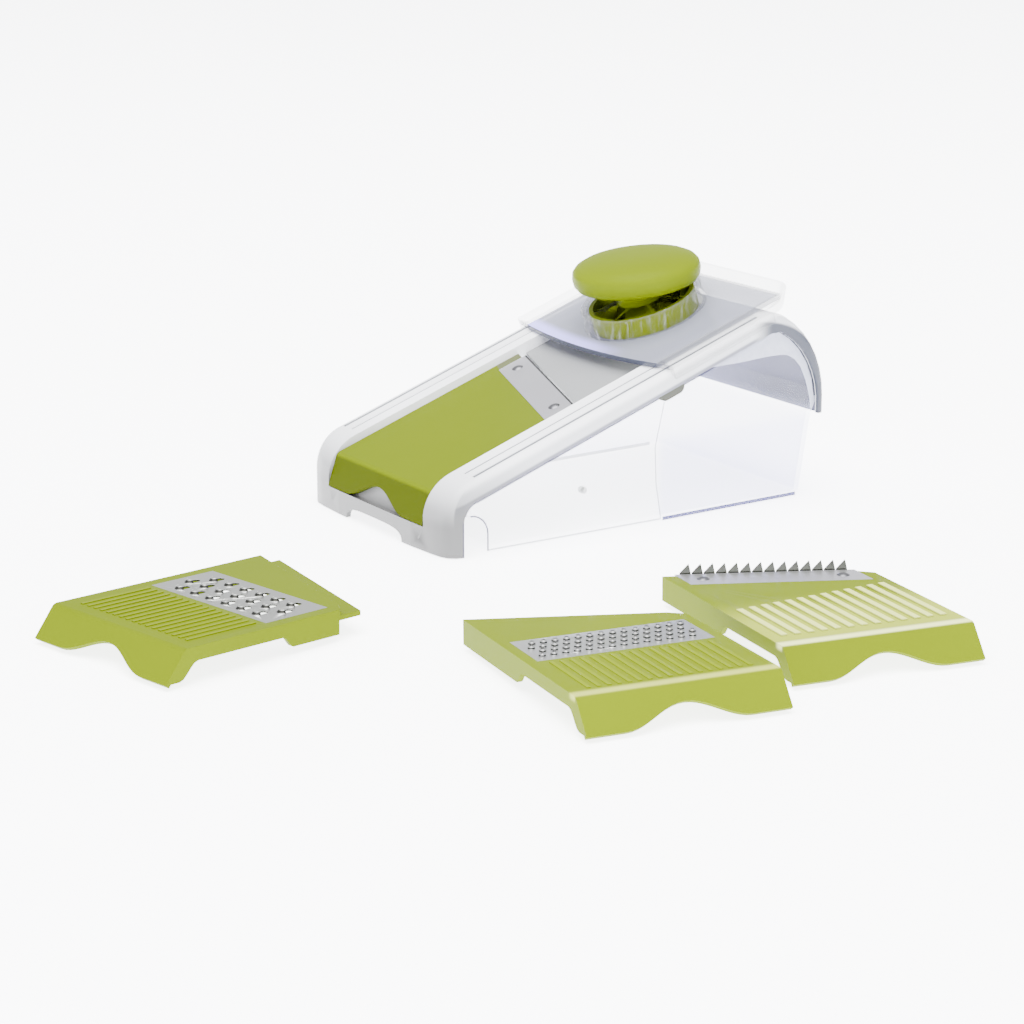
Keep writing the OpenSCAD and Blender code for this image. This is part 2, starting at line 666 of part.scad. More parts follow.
pocket_r0 = neck_d / 2 + 2.5;
pocket_r1 = disc_d / 2 - disc_t;
module at_pins() {
    inner = floor(pin_count / 3);
    for (i = [0:pin_count - 1])
        rotate([0, 0, i < inner ? 360 * i / inner + 20 : 360 * i / (pin_count - inner)])
            translate([disc_d * (i < inner ? 0.28 : 0.33), 0, 0]) children();
}
module pusher_disc() {
    color(LIME) recentre() on_cup() translate([0, 0, disc_n]) difference() {
        union() {
            difference() {
                cylinder(d = disc_d, h = disc_h);
                translate([0, 0, disc_t]) cylinder(r = pocket_r1, h = disc_h);
            }
            cylinder(r = pocket_r0, h = disc_h);
            for (i = [0:7]) rotate([0, 0, 45 * i + 22.5])
                translate([pocket_r0 - 1, -0.7, 0]) cube([pocket_r1 - pocket_r0 + 2, 1.4, disc_h]);
        }
        at_pins() translate([0, 0, -1]) cylinder(d = pin_d + 2 * fit_gap, h = disc_t + 2, $fn = 24);
        translate([0, 0, -1]) cylinder(d = screw_d + 2 * fit_gap, h = disc_h + 2, $fn = 32);
        translate([0, 0, -1]) cylinder(d = 2 * screw_d + 0.6, h = 1 + disc_t, $fn = 32);
    }
}

module pusher_pins() {
    color(STEEL) recentre() on_cup() at_pins() {
        translate([0, 0, disc_n - pin_l + 0.8]) cylinder(d = pin_d, h = disc_t + pin_l - 0.8, $fn = 24);
        translate([0, 0, disc_n - pin_l]) cylinder(d1 = 0.3, d2 = pin_d, h = 0.8, $fn = 24);
    }
}

module pusher_screw() {
    color(STEEL) recentre() on_cup() translate([0, 0, disc_n]) difference() {
        union() {
            translate([0, 0, disc_t]) cylinder(d = screw_d, h = screw_l - disc_t, $fn = 32);
            translate([0, 0, 0.2]) cylinder(d = 2 * screw_d, h = disc_t - 0.2, $fn = 32);
        }
        for (a = [0, 90]) rotate([0, 0, a]) translate([-2, -0.4, -1]) cube([4, 0.8, 2.2]);
    }
}

// ---------------------------------------------------------------- tub
module tub_prism(inset) {
    lean = atan2(back_x - tub_depth_at(-90) - (back_x - tub_rear), hood_z);
    r = tub_r - inset;
    translate([back_x - tub_rear, 0, 0]) rotate([0, lean, 0])
        translate([-far - inset, 0, -30]) linear_extrude(far) {
            translate([0, -tub_half + inset]) square([far - r, 2 * (tub_half - inset)]);
            translate([0, -tub_half + inset + r]) square([far, 2 * (tub_half - inset - r)]);
            for (side = [-1, 1]) translate([far - r, side * (tub_half - inset - r)]) circle(r = r);
        }
}

module container_tub() {
    x0 = front_x + tub_front;
    x1 = back_x - tub_rear;
    lip_z = flare_z + flare_r;
    top_x = back_x - tub_depth_at(-90);
    lip_h0 = acos((lip_z - nose_c[1]) / (nose_r - tub_depth_at(90)));
    top = [for (st = rail_line) if (st[2] < lip_h0 - 2)
               [st[0], st[1]] - tub_depth_at(st[2]) * outward(st[2])];
    start = nose_c + (nose_r - tub_depth_at(lip_h0)) * outward(lip_h0);
    flare = [for (i = [0:6]) [x0 - flare_r + flare_r * cos(15 * i), flare_z + flare_r * sin(15 * i)]];
    outer = concat([[x0, 0]], flare, [start], top, [[x1, 0]]);
    bore = [for (i = [0:6]) [x0 - flare_r + (flare_r + tub_t) * cos(15 * i),
                             flare_z + (flare_r + tub_t) * sin(15 * i)]];
    lip_x = x0 - flare_r - 1;
    inner = concat([[x0 + tub_t, tub_t]], bore,
                   [[lip_x, lip_z + tub_t], [lip_x, -5], [-far, -5], [-far, far], [far, far],
                    [far, hood_z + rear_lap], [top_x - tub_t, hood_z + rear_lap],
                    [top_x - tub_t, hood_z], [x1 - tub_t, tub_t]]);
    color(CLEAR) recentre() {
        difference() {
            intersection() {
                slab(outer, -tub_half, tub_half);
                tub_prism(0);
            }
            intersection() {
                slab(inner, -tub_half + tub_t, tub_half - tub_t);
                union() {
                    tub_prism(tub_t);
                    translate([-far, -tub_half + tub_t, hood_z + 1])
                        cube([2 * far, 2 * (tub_half - tub_t), far]);
                }
            }
        }
        for (side = [-1, 1]) translate([front_x + 70, side * tub_half, 20]) rotate([90, 0, 0])
            cylinder(d = 3, h = 0.8, center = true, $fn = 24);
    }
}

// ---------------------------------------------------------------- spare inserts on the table
leg_foot = [flap_at(leg_n, 0)[0] + 6.5, leg_n];
rear_foot = [insert_long - 0.5, -side_rear_d];
rest_tilt = atan2(rear_foot[1] - leg_foot[1], rear_foot[0] - leg_foot[0]);
// Stands an insert on its legs and its long rear corner, with its middle at a place on the table
module on_table(place, heading) {
    translate([place[0], place[1], 0]) rotate([0, 0, heading]) rotate([0, rest_tilt, 0])
        translate([-leg_foot[0] - insert_l / 2, 0, -leg_foot[1] + insert_l / 2 * sin(rest_tilt)])
            children();
}
module coarse_rest() { on_table(coarse_place, coarse_heading) children(); }
module fine_rest() { on_table(fine_place, fine_heading) children(); }
module julienne_rest() { on_table(julienne_place, julienne_heading) children(); }

// Window for a grating plate: ledge on top, open below
module window(u0, u1, half) {
    translate([u0, -half, -plate_t]) cube([u1 - u0, 2 * half, 5]);
    translate([u0 + plate_lap, -half + plate_lap, -10])
        cube([u1 - u0 - 2 * plate_lap, 2 * (half - plate_lap), 20]);
}
module ribs(count, u0, u1, pitch, w, h) {
    for (i = [0:count - 1]) let (y = (i - (count - 1) / 2) * pitch)
        translate([u0, y - w / 2, -0.2]) cube([u1 - u0, w, h + 0.2]);
}

// Coarse grater: three staggered rows of raised scoops
coarse_u = [grate_from * insert_l, coarse_to * insert_l];
coarse_half = insert_half - insert_t - 3.5;
coarse_rows = [6, 7, 6];
coarse_pitch_y = 2 * coarse_half / 7.45;
coarse_pitch_u = (coarse_u[1] - coarse_u[0]) / 3.6;
module at_coarse_holes() {
    mid = (coarse_u[0] + coarse_u[1]) / 2;
    for (r = [0:2], c = [0:coarse_rows[r] - 1])
        translate([mid + (r - 1) * coarse_pitch_u,
                   (c - (coarse_rows[r] - 1) / 2) * coarse_pitch_y, 0]) children();
}
module coarse_carrier() {
    color(LIME) coarse_rest() {
        difference() { insert_blank(); window(coarse_u[0], coarse_u[1], coarse_half); }
        ribs(17, fold_r + 4, coarse_u[0] - 3, 4, 1.6, 0.4);
        translate([0, 0, -insert_t - slice_t - 1.4]) linear_extrude(insert_t)
            slant_strip(insert_l - 3, insert_l * 1.1, insert_w - 2 * insert_t);
        translate([0, 0, -insert_t - slice_t - 0.4]) linear_extrude(slice_t + 0.6)
            slant_strip(insert_l - 3, insert_l - 1, insert_w - 2 * insert_t);
    }
}
module coarse_plate() {
    w = coarse_hole_w / 2;
    l = coarse_hole_l / 2 - w;
    color(STEEL) coarse_rest() {
        difference() {
            translate([coarse_u[0], -coarse_half, -plate_t])
                cube([coarse_u[1] - coarse_u[0], 2 * coarse_half, plate_t]);
            at_coarse_holes() translate([0, 0, -2]) {
                for (e = [-l, l]) translate([e, 0, 0]) cylinder(r = w, h = 4, $fn = 24);
                translate([-l, -w, 0]) cube([2 * l, 2 * w, 4]);
            }
        }
        at_coarse_holes() translate([-l, 0, -0.1]) rotate([0, 0, 90])
            rotate_extrude(angle = 180, $fn = 24)
                polygon([[w, 0], [w + 0.7, 0], [w - 0.2, coarse_tooth_h + 0.1],
                         [w - 0.5, coarse_tooth_h + 0.1]]);
    }
}

// Fine grater: four rows of small punched teeth
fine_u = [grate_from * insert_l, fine_to * insert_l];
fine_half = insert_half - insert_t - 2.5;
fine_rows = 4;
fine_cols = 14;
fine_pitch_y = 2 * fine_half / 15.3;
fine_pitch_u = (fine_u[1] - fine_u[0]) / 5.2;
module at_fine_teeth() {
    mid = (fine_u[0] + fine_u[1]) / 2;
    for (r = [0:fine_rows - 1], c = [0:fine_cols - 1])
        translate([mid + (r - (fine_rows - 1) / 2) * fine_pitch_u,
                   (c - (fine_cols - 1) / 2 + (r % 2 == 0 ? 0.25 : -0.25)) * fine_pitch_y, 0])
            children();
}
module fine_carrier() {
    color(LIME) fine_rest() {
        difference() { insert_blank(); window(fine_u[0], fine_u[1], fine_half); }
        ribs(17, fold_r + 4, fine_u[0] - 3, 4, 1.6, 0.3);
    }
}
module fine_plate() {
    color(STEEL) fine_rest() difference() {
        union() {
            translate([fine_u[0], -fine_half, -plate_t])
                cube([fine_u[1] - fine_u[0], 2 * fine_half, plate_t]);
            at_fine_teeth() cylinder(r1 = 1.5, r2 = fine_hole_d / 2 + 0.15, h = fine_tooth_h,
                                     $fn = 16);
        }
        at_fine_teeth() translate([0, 0, -2]) cylinder(d = fine_hole_d, h = 5, $fn = 16);
    }
}

// Julienne insert: ribbed front, riveted blade and an upright comb along its edge
julienne_ribs = 13;
module julienne_carrier() {
    color(LIME) julienne_rest() {
        difference() { insert_blank(); blade_seat(); }
        pitch = (insert_w - 13) / (julienne_ribs - 1);
        for (i = [0:julienne_ribs - 1])
            let (y = (i - (julienne_ribs - 1) / 2) * pitch,
                 u1 = side_step + (insert_short - blade_w - 2 - side_step) * (0.5 - y / insert_w))
            translate([fold_r + 8, y - 1.3, -0.2]) cube([u1 - fold_r - 8, 2.6, 0.9]);
    }
}
module julienne_blade() { color(STEEL) julienne_rest() steel_blade(); }
module julienne_rivets() { color(STEEL) julienne_rest() blade_rivets(); }
module julienne_comb() {
    x1 = throat - 0.4;                // the strip's front edge, just past the cutting edge
    z0 = -insert_t - comb_t;
    w = comb_pitch * 0.94;
    comb_foot = comb_h * 0.05;
    color(STEEL) julienne_rest() translate([blade_u, 0, 0]) rotate([0, 0, -slant]) {
        translate([-blade_over - 2, -comb_count * comb_pitch / 2, z0])
            cube([x1 + blade_over + 2, comb_count * comb_pitch, comb_t]);
        translate([x1, 0, 0]) rotate([90, 0, -90]) linear_extrude(comb_t)
            for (i = [0:comb_count - 1])
                translate([(i - comb_count / 2) * comb_pitch, 0])
                    polygon([[0, z0], [w, z0], [w, comb_foot], [w * 0.8, comb_h], [0, comb_foot]]);
    }
}

container_tub();
frame_shell();
side_catches();
runway_plate();
slicing_carrier();
slicing_blade();
slicing_rivets();
guard_plate();
pusher_knob();
pusher_disc();
pusher_pins();
pusher_screw();
coarse_carrier();
coarse_plate();
fine_carrier();
fine_plate();
julienne_carrier();
julienne_comb();
julienne_blade();
julienne_rivets();
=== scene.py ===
# %% [markdown]
# A table-top mandoline slicer stands on a pale table with three spare inserts beside it. Its solids
# come from the packed model. They could be used as they are, but a CAD solid has sharp corners and
# one flat colour. This file gives them moulded edges, finishes and light, piece by piece. First the
# packed model is loaded.

# %% Load the packed slicer
import json
import math

import bmesh
import bpy
from mathutils import Matrix, Vector


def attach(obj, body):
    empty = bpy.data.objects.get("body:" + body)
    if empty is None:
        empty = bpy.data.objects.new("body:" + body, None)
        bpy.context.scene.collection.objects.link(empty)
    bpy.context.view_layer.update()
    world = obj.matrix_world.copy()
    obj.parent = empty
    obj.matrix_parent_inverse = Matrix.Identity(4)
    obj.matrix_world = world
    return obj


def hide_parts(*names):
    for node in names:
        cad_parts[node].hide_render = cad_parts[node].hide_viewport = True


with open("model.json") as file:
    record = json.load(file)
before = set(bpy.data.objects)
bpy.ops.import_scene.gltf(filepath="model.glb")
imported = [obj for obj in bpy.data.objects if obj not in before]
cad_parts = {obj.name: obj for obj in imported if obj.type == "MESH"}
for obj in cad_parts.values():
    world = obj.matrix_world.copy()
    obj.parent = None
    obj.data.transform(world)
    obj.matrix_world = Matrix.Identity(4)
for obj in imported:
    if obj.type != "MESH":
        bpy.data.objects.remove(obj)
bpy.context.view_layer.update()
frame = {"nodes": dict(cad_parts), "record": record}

MM = 0.001


def put_in_scene(name, data):
    """A new object of the scene that shows a mesh, a lamp or a camera."""
    made = bpy.data.objects.new(name, data)
    bpy.context.scene.collection.objects.link(made)
    return made


# %% [markdown]
# The camera is set first, so that every later step can be looked at from the same place. It stands
# to the front left of the slicer, a little above it, with a long lens, which keeps straight edges
# nearly parallel. It could be aimed with a constraint, but a constraint hides the numbers. Here its
# matrix is written out: a camera's own axes are the columns of that matrix: right, up and back.

# %% Place the camera
CAMERA_AZIMUTH = math.radians(-33.115)
CAMERA_ELEVATION = math.radians(15.35)
CAMERA_PLACE = Vector((-683.1, -1006.5, 326.9)) * MM
SENSOR = 36.0
LENS_FOR_WHOLE_SET = 67.67 * 1.42
FARTHEST_SEEN = 20


def camera_axes(azimuth, elevation):
    """Right, up and back of a camera that looks from an azimuth and an elevation."""
    right = Vector((math.cos(azimuth), math.sin(azimuth), 0))
    back = Vector((math.sin(azimuth) * math.cos(elevation),
                   -math.cos(azimuth) * math.cos(elevation), math.sin(elevation)))
    return right, back.cross(right), back


def place_camera():
    camera = put_in_scene("studio_camera", bpy.data.cameras.new("studio_camera"))
    right, up, back = camera_axes(CAMERA_AZIMUTH, CAMERA_ELEVATION)
    turn = Matrix((right, up, back)).transposed()
    camera.matrix_world = Matrix.Translation(CAMERA_PLACE) @ turn.to_4x4()
    camera.data.sensor_width = SENSOR
    camera.data.sensor_fit = "HORIZONTAL"
    camera.data.lens = LENS_FOR_WHOLE_SET
    camera.data.clip_end = FARTHEST_SEEN
    bpy.context.scene.camera = camera
    return camera


camera = place_camera()
print("camera stands", round(camera.location.length, 3), "m from the slicer")

# %% [markdown]
# Finishes are made of sums: how high a point lies, minus where the rails are, times a colour's
# share. Such sums could be drawn as a web of Math nodes, but they are easier to read as Python.
# The class below wraps a socket, so that 1 - mask or a * b + 1 adds the Math nodes it needs.

# %% A socket that can be used in sums
class Wire:
    """An output socket of a finish's nodes. Sums on it add Math nodes."""

    def __init__(self, finish, socket):
        self.finish = finish
        self.socket = socket

    def _math(self, operation, first, second):
        return self.finish.node("ShaderNodeMath", {"operation": operation},
                                {0: first, 1: second})

    def __add__(self, other):
        return self._math("ADD", self, other)

    def __radd__(self, other):
        return self._math("ADD", other, self)

    def __sub__(self, other):
        return self._math("SUBTRACT", self, other)

    def __rsub__(self, other):
        return self._math("SUBTRACT", other, self)

    def __mul__(self, other):
        return self._math("MULTIPLY", self, other)

    def __rmul__(self, other):
        return self._math("MULTIPLY", other, self)

    def __pow__(self, other):
        return self._math("POWER", self, other)


print("a wire knows", [name for name in vars(Wire) if name.startswith("__r")])

# %% [markdown]
# A finish is one material: its Principled shader and the nodes that feed it. What is the same all
# over a piece is set on the shader's own sockets. What changes over it is built from a few helpers:
# noise for grain, a direction for place, and a soft ramp to turn a place into a mask. Colours go
# through Mix nodes, because a Math node would turn them grey.

# %% A finish and its helpers
class Finish:
    """One material, with short ways to add the nodes that its colour and gloss need."""

    def __init__(self, name, **constants):
        self.material = bpy.data.materials.new(name)
        self.material.use_nodes = True
        self.tree = self.material.node_tree
        self.shader = self.tree.nodes["Principled BSDF"]
        for socket, value in constants.items():
            self.shader.inputs[socket.replace("_", " ")].default_value = value

    def node(self, kind, settings=None, sockets=None, output=0):
        """Any node: its type, its settings, and the values or wires of its sockets."""
        made = self.tree.nodes.new(kind)
        for name, value in (settings or {}).items():
            setattr(made, name, value)
        for name, value in (sockets or {}).items():
            if isinstance(value, Wire):
                self.tree.links.new(value.socket, made.inputs[name])
            else:
                made.inputs[name].default_value = value
        return Wire(self, made.outputs[output])

    def place(self):
        return self.node("ShaderNodeTexCoord", output="Object")

    def stretched(self, scale, turn=(0, 0, 0)):
        """The place, scaled along each axis and turned, for grain that runs one way."""
        return self.node("ShaderNodeMapping", {}, {"Vector": self.place(), "Scale": scale,
                                                   "Rotation": turn})

    def noise(self, scale, detail=3.0, vector=None):
        return self.node("ShaderNodeTexNoise", {},
                         {"Vector": vector or self.place(), "Scale": scale, "Detail": detail})

    def mix(self, share, one, other):
        """One colour where the share is 0, and the other where it is 1."""
        return self.node("ShaderNodeMix", {"data_type": "RGBA"},
                         {0: share, 6: (*one, 1) if isinstance(one, tuple) else one,
                          7: (*other, 1) if isinstance(other, tuple) else other}, output=2)

    def along(self, direction, start=0.0):
        """How far past the start a point lies along a direction, in millimetres."""
        share = self.node("ShaderNodeVectorMath", {"operation": "DOT_PRODUCT"},
                          {0: self.place(), 1: tuple(direction)}, output=1)
        return share * 1000.0 - start

    def ramp(self, value, low, high):
        """Nothing below the low value, all above the high one, with a soft change between."""
        return self.node("ShaderNodeMapRange", {"interpolation_type": "SMOOTHSTEP"},
                         {"Value": value, "From Min": low, "From Max": high})

    def fade(self, value, low, high):
        """All below the low value, nothing above the high one."""
        return 1 - self.ramp(value, low, high)

    def band(self, value, rise, fall):
        """All between a soft rise and a soft fall, each given by where it starts and ends."""
        return self.ramp(value, *rise) * self.fade(value, *fall)

    def at_least(self, value, floor):
        return self.node("ShaderNodeMath", {"operation": "MAXIMUM"}, {0: value, 1: floor})

    def size_of(self, value):
        return self.node("ShaderNodeMath", {"operation": "ABSOLUTE"}, {0: value})

    def feed(self, socket, wire):
        self.tree.links.new(wire.socket, self.shader.inputs[socket])

    def bump(self, height, depth):
        """Fine relief: a height from 0 to 1, and how deep it is in metres."""
        self.feed("Normal", self.node("ShaderNodeBump", {}, {"Height": height,
                                                             "Distance": depth}))


finishes = {}
print("finish helpers", [name for name in vars(Finish) if not name.startswith("_")])

# %% [markdown]
# Several finishes change from place to place: a rail has shaded grooves, and a hood is darker
# inside. So the slicer's own directions come first. The rails climb at one slope from a point
# above the front foot, and the hood bends back to the table in two arcs, a tight one and a wide
# one. The bends could be measured on the mesh, but their few radii are known from the moulding,
# and a heading of the wall gives each point by a formula.

# %% Where the rails and the hood lie
FRONT_FOOT = 96.5
RAIL_Z = 28.5
SLOPE_DEG = 19.3
SLOPE = math.radians(SLOPE_DEG)
FORWARD = (1, 0, 0)
SIDEWAYS = (0, 1, 0)
UPWARD = (0, 0, 1)
ALONG_RAILS = (math.cos(SLOPE), 0, math.sin(SLOPE))
UP_FROM_RAILS = (-math.sin(SLOPE), 0, math.cos(SLOPE))
RAILS_ORIGIN = Vector((-FRONT_FOOT, 0, RAIL_Z))
RAILS_BEGIN = RAILS_ORIGIN.dot(Vector(ALONG_RAILS))
RAIL_TOPS = RAILS_ORIGIN.dot(Vector(UP_FROM_RAILS))
FRAME_L = 202.0
HOOD_R = 16.0
BACK_R = 45.0
HOOD_TURN = 30.0


def outward(heading):
    """The way out of the moulding, seen from the side, where its wall runs at a heading."""
    turn = math.radians(heading)
    return Vector((-math.sin(turn), math.cos(turn)))


def hood_centres():
    """Centres of the hood's tight arc and of its wide back arc, seen from the side."""
    bend = math.sin(math.radians(HOOD_TURN))
    first = FRAME_L - HOOD_R * (math.sin(SLOPE) + bend) - BACK_R * (1 - bend)
    tight = Vector((first, RAIL_Z + first * math.tan(SLOPE))) - HOOD_R * outward(SLOPE_DEG)
    return tight, tight + (HOOD_R - BACK_R) * outward(-HOOD_TURN)


TIGHT_CENTRE, BACK_CENTRE = hood_centres()
print("hood bends round", tuple(round(part, 2) for part in (*TIGHT_CENTRE, *BACK_CENTRE)))

# %% [markdown]
# The working insert's blade lies at a slant across the channel. The seat behind it and its ground
# edge follow that slant. The slant's size is known and its side isn't, so both sides are tried: the
# right one is the one that sees the blade at its narrowest. Measuring the solid keeps the finish on
# the blade if the part changes.

# %% Where the blade lies
BLADE_SLANT = 17.5


def blade_line(node="slicing_blade"):
    """The way across the slanting blade, and where its two long edges lie on it, in metres."""
    choices = []
    for slant in (-BLADE_SLANT, BLADE_SLANT):
        turn = math.radians(slant)
        way = math.cos(turn) * Vector(ALONG_RAILS) + math.sin(turn) * Vector(SIDEWAYS)
        places = [way.dot(point.co) for point in frame["nodes"][node].data.vertices]
        choices.append((max(places) - min(places), tuple(way), min(places), max(places)))
    return min(choices)[1:]


ACROSS_BLADE, BLADE_FRONT, BLADE_EDGE = blade_line()
print("blade is", round((BLADE_EDGE - BLADE_FRONT) / MM, 2), "mm wide")

# %% [markdown]
# The spares lie on the table, and their ribs, teeth and folds are found from two measures. A top
# plane is the upward plane with the most area: ribs and teeth stand above it, and holes lie below.
# A fold line is where that plane ends at the front flap. Both could be typed in, but they would
# have to be typed again for every new place of a spare.

# %% Tops and folds of the inserts
ON_PLANE = 0.0001
FACES_UP = 0.9
HEADINGS = {"fine_carrier": 80, "julienne_carrier": 79}


def top_plane(node):
    """Upward plane with the most area on a solid: its direction and its distance."""
    areas = {}
    for face in frame["nodes"][node].data.polygons:
        if face.normal.z > FACES_UP:
            place = round(face.normal.dot(face.center), 5)
            key = (place, *(round(part, 3) for part in face.normal))
            areas.setdefault(key, [0.0, face.normal.copy()])[0] += face.area
    best = max(areas, key=lambda key: areas[key][0])
    return tuple(areas[best][1]), best[0]


def fold_line(node):
    """Where a spare's top ends at its flap: the way the spare lies, and how far along it."""
    heading = math.radians(HEADINGS[node])
    way = Vector((math.cos(heading), math.sin(heading), 0))
    normal, place = top_plane(node)
    ends = [way.dot(point.co) for point in frame["nodes"][node].data.vertices
            if abs(Vector(normal).dot(point.co) - place) < ON_PLANE]
    return tuple(way), min(ends)


print("coarse top", top_plane("coarse_carrier"))
print("folds", [round(fold_line(node)[1] / MM, 1) for node in HEADINGS], "mm along the spares")

# %% [markdown]
# Lime plastic covers most of the set. Injection moulded ABS has an even colour, a soft satin gloss
# and a very fine grain. It could be one flat colour, but two noises make it look moulded: a broad
# one that shifts the colour a little, and a fine one for the grain and the roughness. The knob and
# the disc of the pusher need no more than this. The disc's lime is paler than the knob's: painted
# light that lifts the shade the knob casts on it.

# %% Lime moulded plastic
LIME = (0.092, 0.121, 0.0002)
LIME_DEEP = (0.079, 0.106, 0.0001)
# The disc's paler lime is painted light that lifts the shade the knob casts on it.
LIME_DISC_PAINTED_LIGHT = (0.150, 0.190, 0.0010)
LIME_SPARE = (0.112, 0.146, 0.0001)
LIME_KNOB = (0.099, 0.132, 0.0002)
LIME_DRIFT = 18.0
LIME_GRAIN = 1800.0


def lime_finish(name, tone=LIME, deep=LIME_DEEP, shade=None):
    """Lime plastic of one tone that drifts to a deeper one. A shade, a function, may lay more
    tones on it."""
    lime = Finish(name, IOR=1.5, Specular_IOR_Level=0.018)
    grain = lime.noise(LIME_GRAIN, 2.0)
    colour = lime.mix(lime.noise(LIME_DRIFT), tone, deep)
    if shade:
        colour = shade(lime, colour)
    lime.feed("Base Color", colour)
    lime.feed("Roughness", 0.30 + grain * 0.12)
    lime.bump(grain, 0.00002)
    return lime.material


finishes["knob_lime"] = lime_finish("knob_lime", LIME_KNOB, LIME)
finishes["disc_lime"] = lime_finish("disc_lime", LIME_DISC_PAINTED_LIGHT, LIME_SPARE)
print("pusher finishes", sorted(finishes))

# %% [markdown]
# The working insert shows more tones than the knob, and they are painted light and shade. Its
# fine ribs get a pale painted highlight, the flap that hangs below its top gets deeper painted
# shade, and the seat behind its blade is greyed with painted shade. Each tone could be a material
# of its own on its own faces, but then its border would be a hard line. A mask from the height
# over the top gives a soft one. Each pair below is a soft edge in millimetres: where a tone starts
# and where it is full.

# %% Lime of the working insert
# Painted highlight on the ribs, and painted shade on the flap and on the seat behind the blade.
SLICING_RIB_HIGHLIGHT = (0.30, 0.34, 0.045)
SLICING_FLAP_SHADE = (0.037, 0.049, 0.0001)
BLADE_SEAT_SHADE = (0.085, 0.094, 0.045)
RIB_HIGHLIGHT_SIDE = (0.1, 0.35)
FLAP_SHADE_START = (0.2, 1.6)
SEAT_SHADE_START = (0.0, 1.0)


def height_over(finish, node):
    """How far above an insert's top plane a point lies."""
    direction, distance = top_plane(node)
    return finish.along(direction, distance / MM)


def slicing_shade(lime, colour):
    """Working insert: a painted highlight on its ribs, painted shade on its flap and blade seat."""
    height = height_over(lime, "slicing_carrier")
    colour = lime.mix(lime.ramp(height, *RIB_HIGHLIGHT_SIDE), colour, SLICING_RIB_HIGHLIGHT)
    colour = lime.mix(lime.ramp(0 - height, *FLAP_SHADE_START), colour, SLICING_FLAP_SHADE)
    seat = lime.ramp(lime.along(ACROSS_BLADE, BLADE_FRONT / MM), *SEAT_SHADE_START)
    return lime.mix(seat, colour, BLADE_SEAT_SHADE)


finishes["slicing_lime"] = lime_finish("slicing_lime", shade=slicing_shade)
print("slicing lime has", len(finishes["slicing_lime"].node_tree.nodes), "nodes")

# %% [markdown]
# The spares are the same plastic. The coarse one is plain but for a painted highlight on its ribs.
# The ribs of the other two get a painted highlight too, the fold of each ends in a crest with a
# bright painted highlight, and between the broad ribs of the julienne insert painted light makes
# the plastic paler. These bands follow the way a spare lies, so they need its fold line. Two
# spares share the same bands with other tones, so a function makes the shade for each.

# %% Lime of the spares
# Painted highlights on the ribs and on the crests of the folds, and painted light in the valleys.
COARSE_RIB_HIGHLIGHT = (0.105, 0.135, 0.004)
FINE_RIB_HIGHLIGHT = (0.135, 0.172, 0.002)
FINE_CREST_HIGHLIGHT = (0.34, 0.37, 0.070)
JULIENNE_RIB_HIGHLIGHT = (0.50, 0.54, 0.150)
JULIENNE_CREST_HIGHLIGHT = (0.62, 0.66, 0.260)
JULIENNE_VALLEY_LIGHT = (0.260, 0.300, 0.030)
CREST_FRONT, CREST_REAR, CREST_DEPTH = (-1.2, 0.2), (2.0, 5.5), (-3.0, -1.0)
VALLEY_FRONT, VALLEY_REAR, VALLEY_DEPTH = (3.0, 6.0), (24.0, 62.0), (-0.3, -0.1)


def coarse_shade(lime, colour):
    height = height_over(lime, "coarse_carrier")
    return lime.mix(lime.ramp(height, *RIB_HIGHLIGHT_SIDE), colour, COARSE_RIB_HIGHLIGHT)


def folded_shade(node, rib, crest, valley=None):
    """A shade for a spare with a bright fold: painted highlights on its ribs and the fold's crest
    and, where one is given, painted light in the valleys between the ribs."""
    def shade(lime, colour):
        height = height_over(lime, node)
        way, fold = fold_line(node)
        behind = lime.along(way, fold / MM)
        if valley:
            ribbed = lime.band(behind, VALLEY_FRONT, VALLEY_REAR)
            colour = lime.mix(ribbed * lime.ramp(height, *VALLEY_DEPTH), colour, valley)
        colour = lime.mix(lime.ramp(height, *RIB_HIGHLIGHT_SIDE), colour, rib)
        folded = lime.band(behind, CREST_FRONT, CREST_REAR) * lime.ramp(height, *CREST_DEPTH)
        return lime.mix(folded, colour, crest)

    return shade


fine_shade = folded_shade("fine_carrier", FINE_RIB_HIGHLIGHT, FINE_CREST_HIGHLIGHT)
julienne_shade = folded_shade("julienne_carrier", JULIENNE_RIB_HIGHLIGHT, JULIENNE_CREST_HIGHLIGHT, JULIENNE_VALLEY_LIGHT)
finishes["coarse_lime"] = lime_finish("coarse_lime", shade=coarse_shade)
finishes["fine_lime"] = lime_finish("fine_lime", LIME_SPARE, LIME, fine_shade)
finishes["julienne_lime"] = lime_finish("julienne_lime", LIME_SPARE, LIME, julienne_shade)
print("lime finishes", sorted(finishes))

# %% [markdown]
# The frame is one white moulding. Its two rails have a long shallow groove in their tops, and the
# skirt beside them turns down to a thin hem. White plastic shows such forms by shade alone, and the
# soft light of a pale table fills shade in. Grooves could be cut deeper to look right, but then the
# rails would be wrong. So the grooves, the skirt's side and its hem get painted shade, laid by
# place.

# %% Shade on the rails and the skirt
# Painted shade: in the rails' grooves, on the skirt's side and along its hem.
GROOVE_SHADE = (0.30, 0.31, 0.34)
RAIL_SIDE_SHADE = (0.52, 0.53, 0.56)
SKIRT_HEM_SHADE = (0.150, 0.153, 0.190)
RAIL_INNER, RAIL_OUTER = (44.0, 45.0), (56.4, 56.8)
RAIL_START, RAIL_END = (13.8, 14.6), (175.0, 175.4)
GROOVE_TOP, GROOVE_FLOOR = (0.12, 0.5), (1.1, 1.3)
SKIRT_SIDE, SKIRT_TOP, SKIRT_FOOT = (58.3, 59.0), (1.0, 4.0), (6.4, 7.8)
HEM_END = (166.0, 174.0)


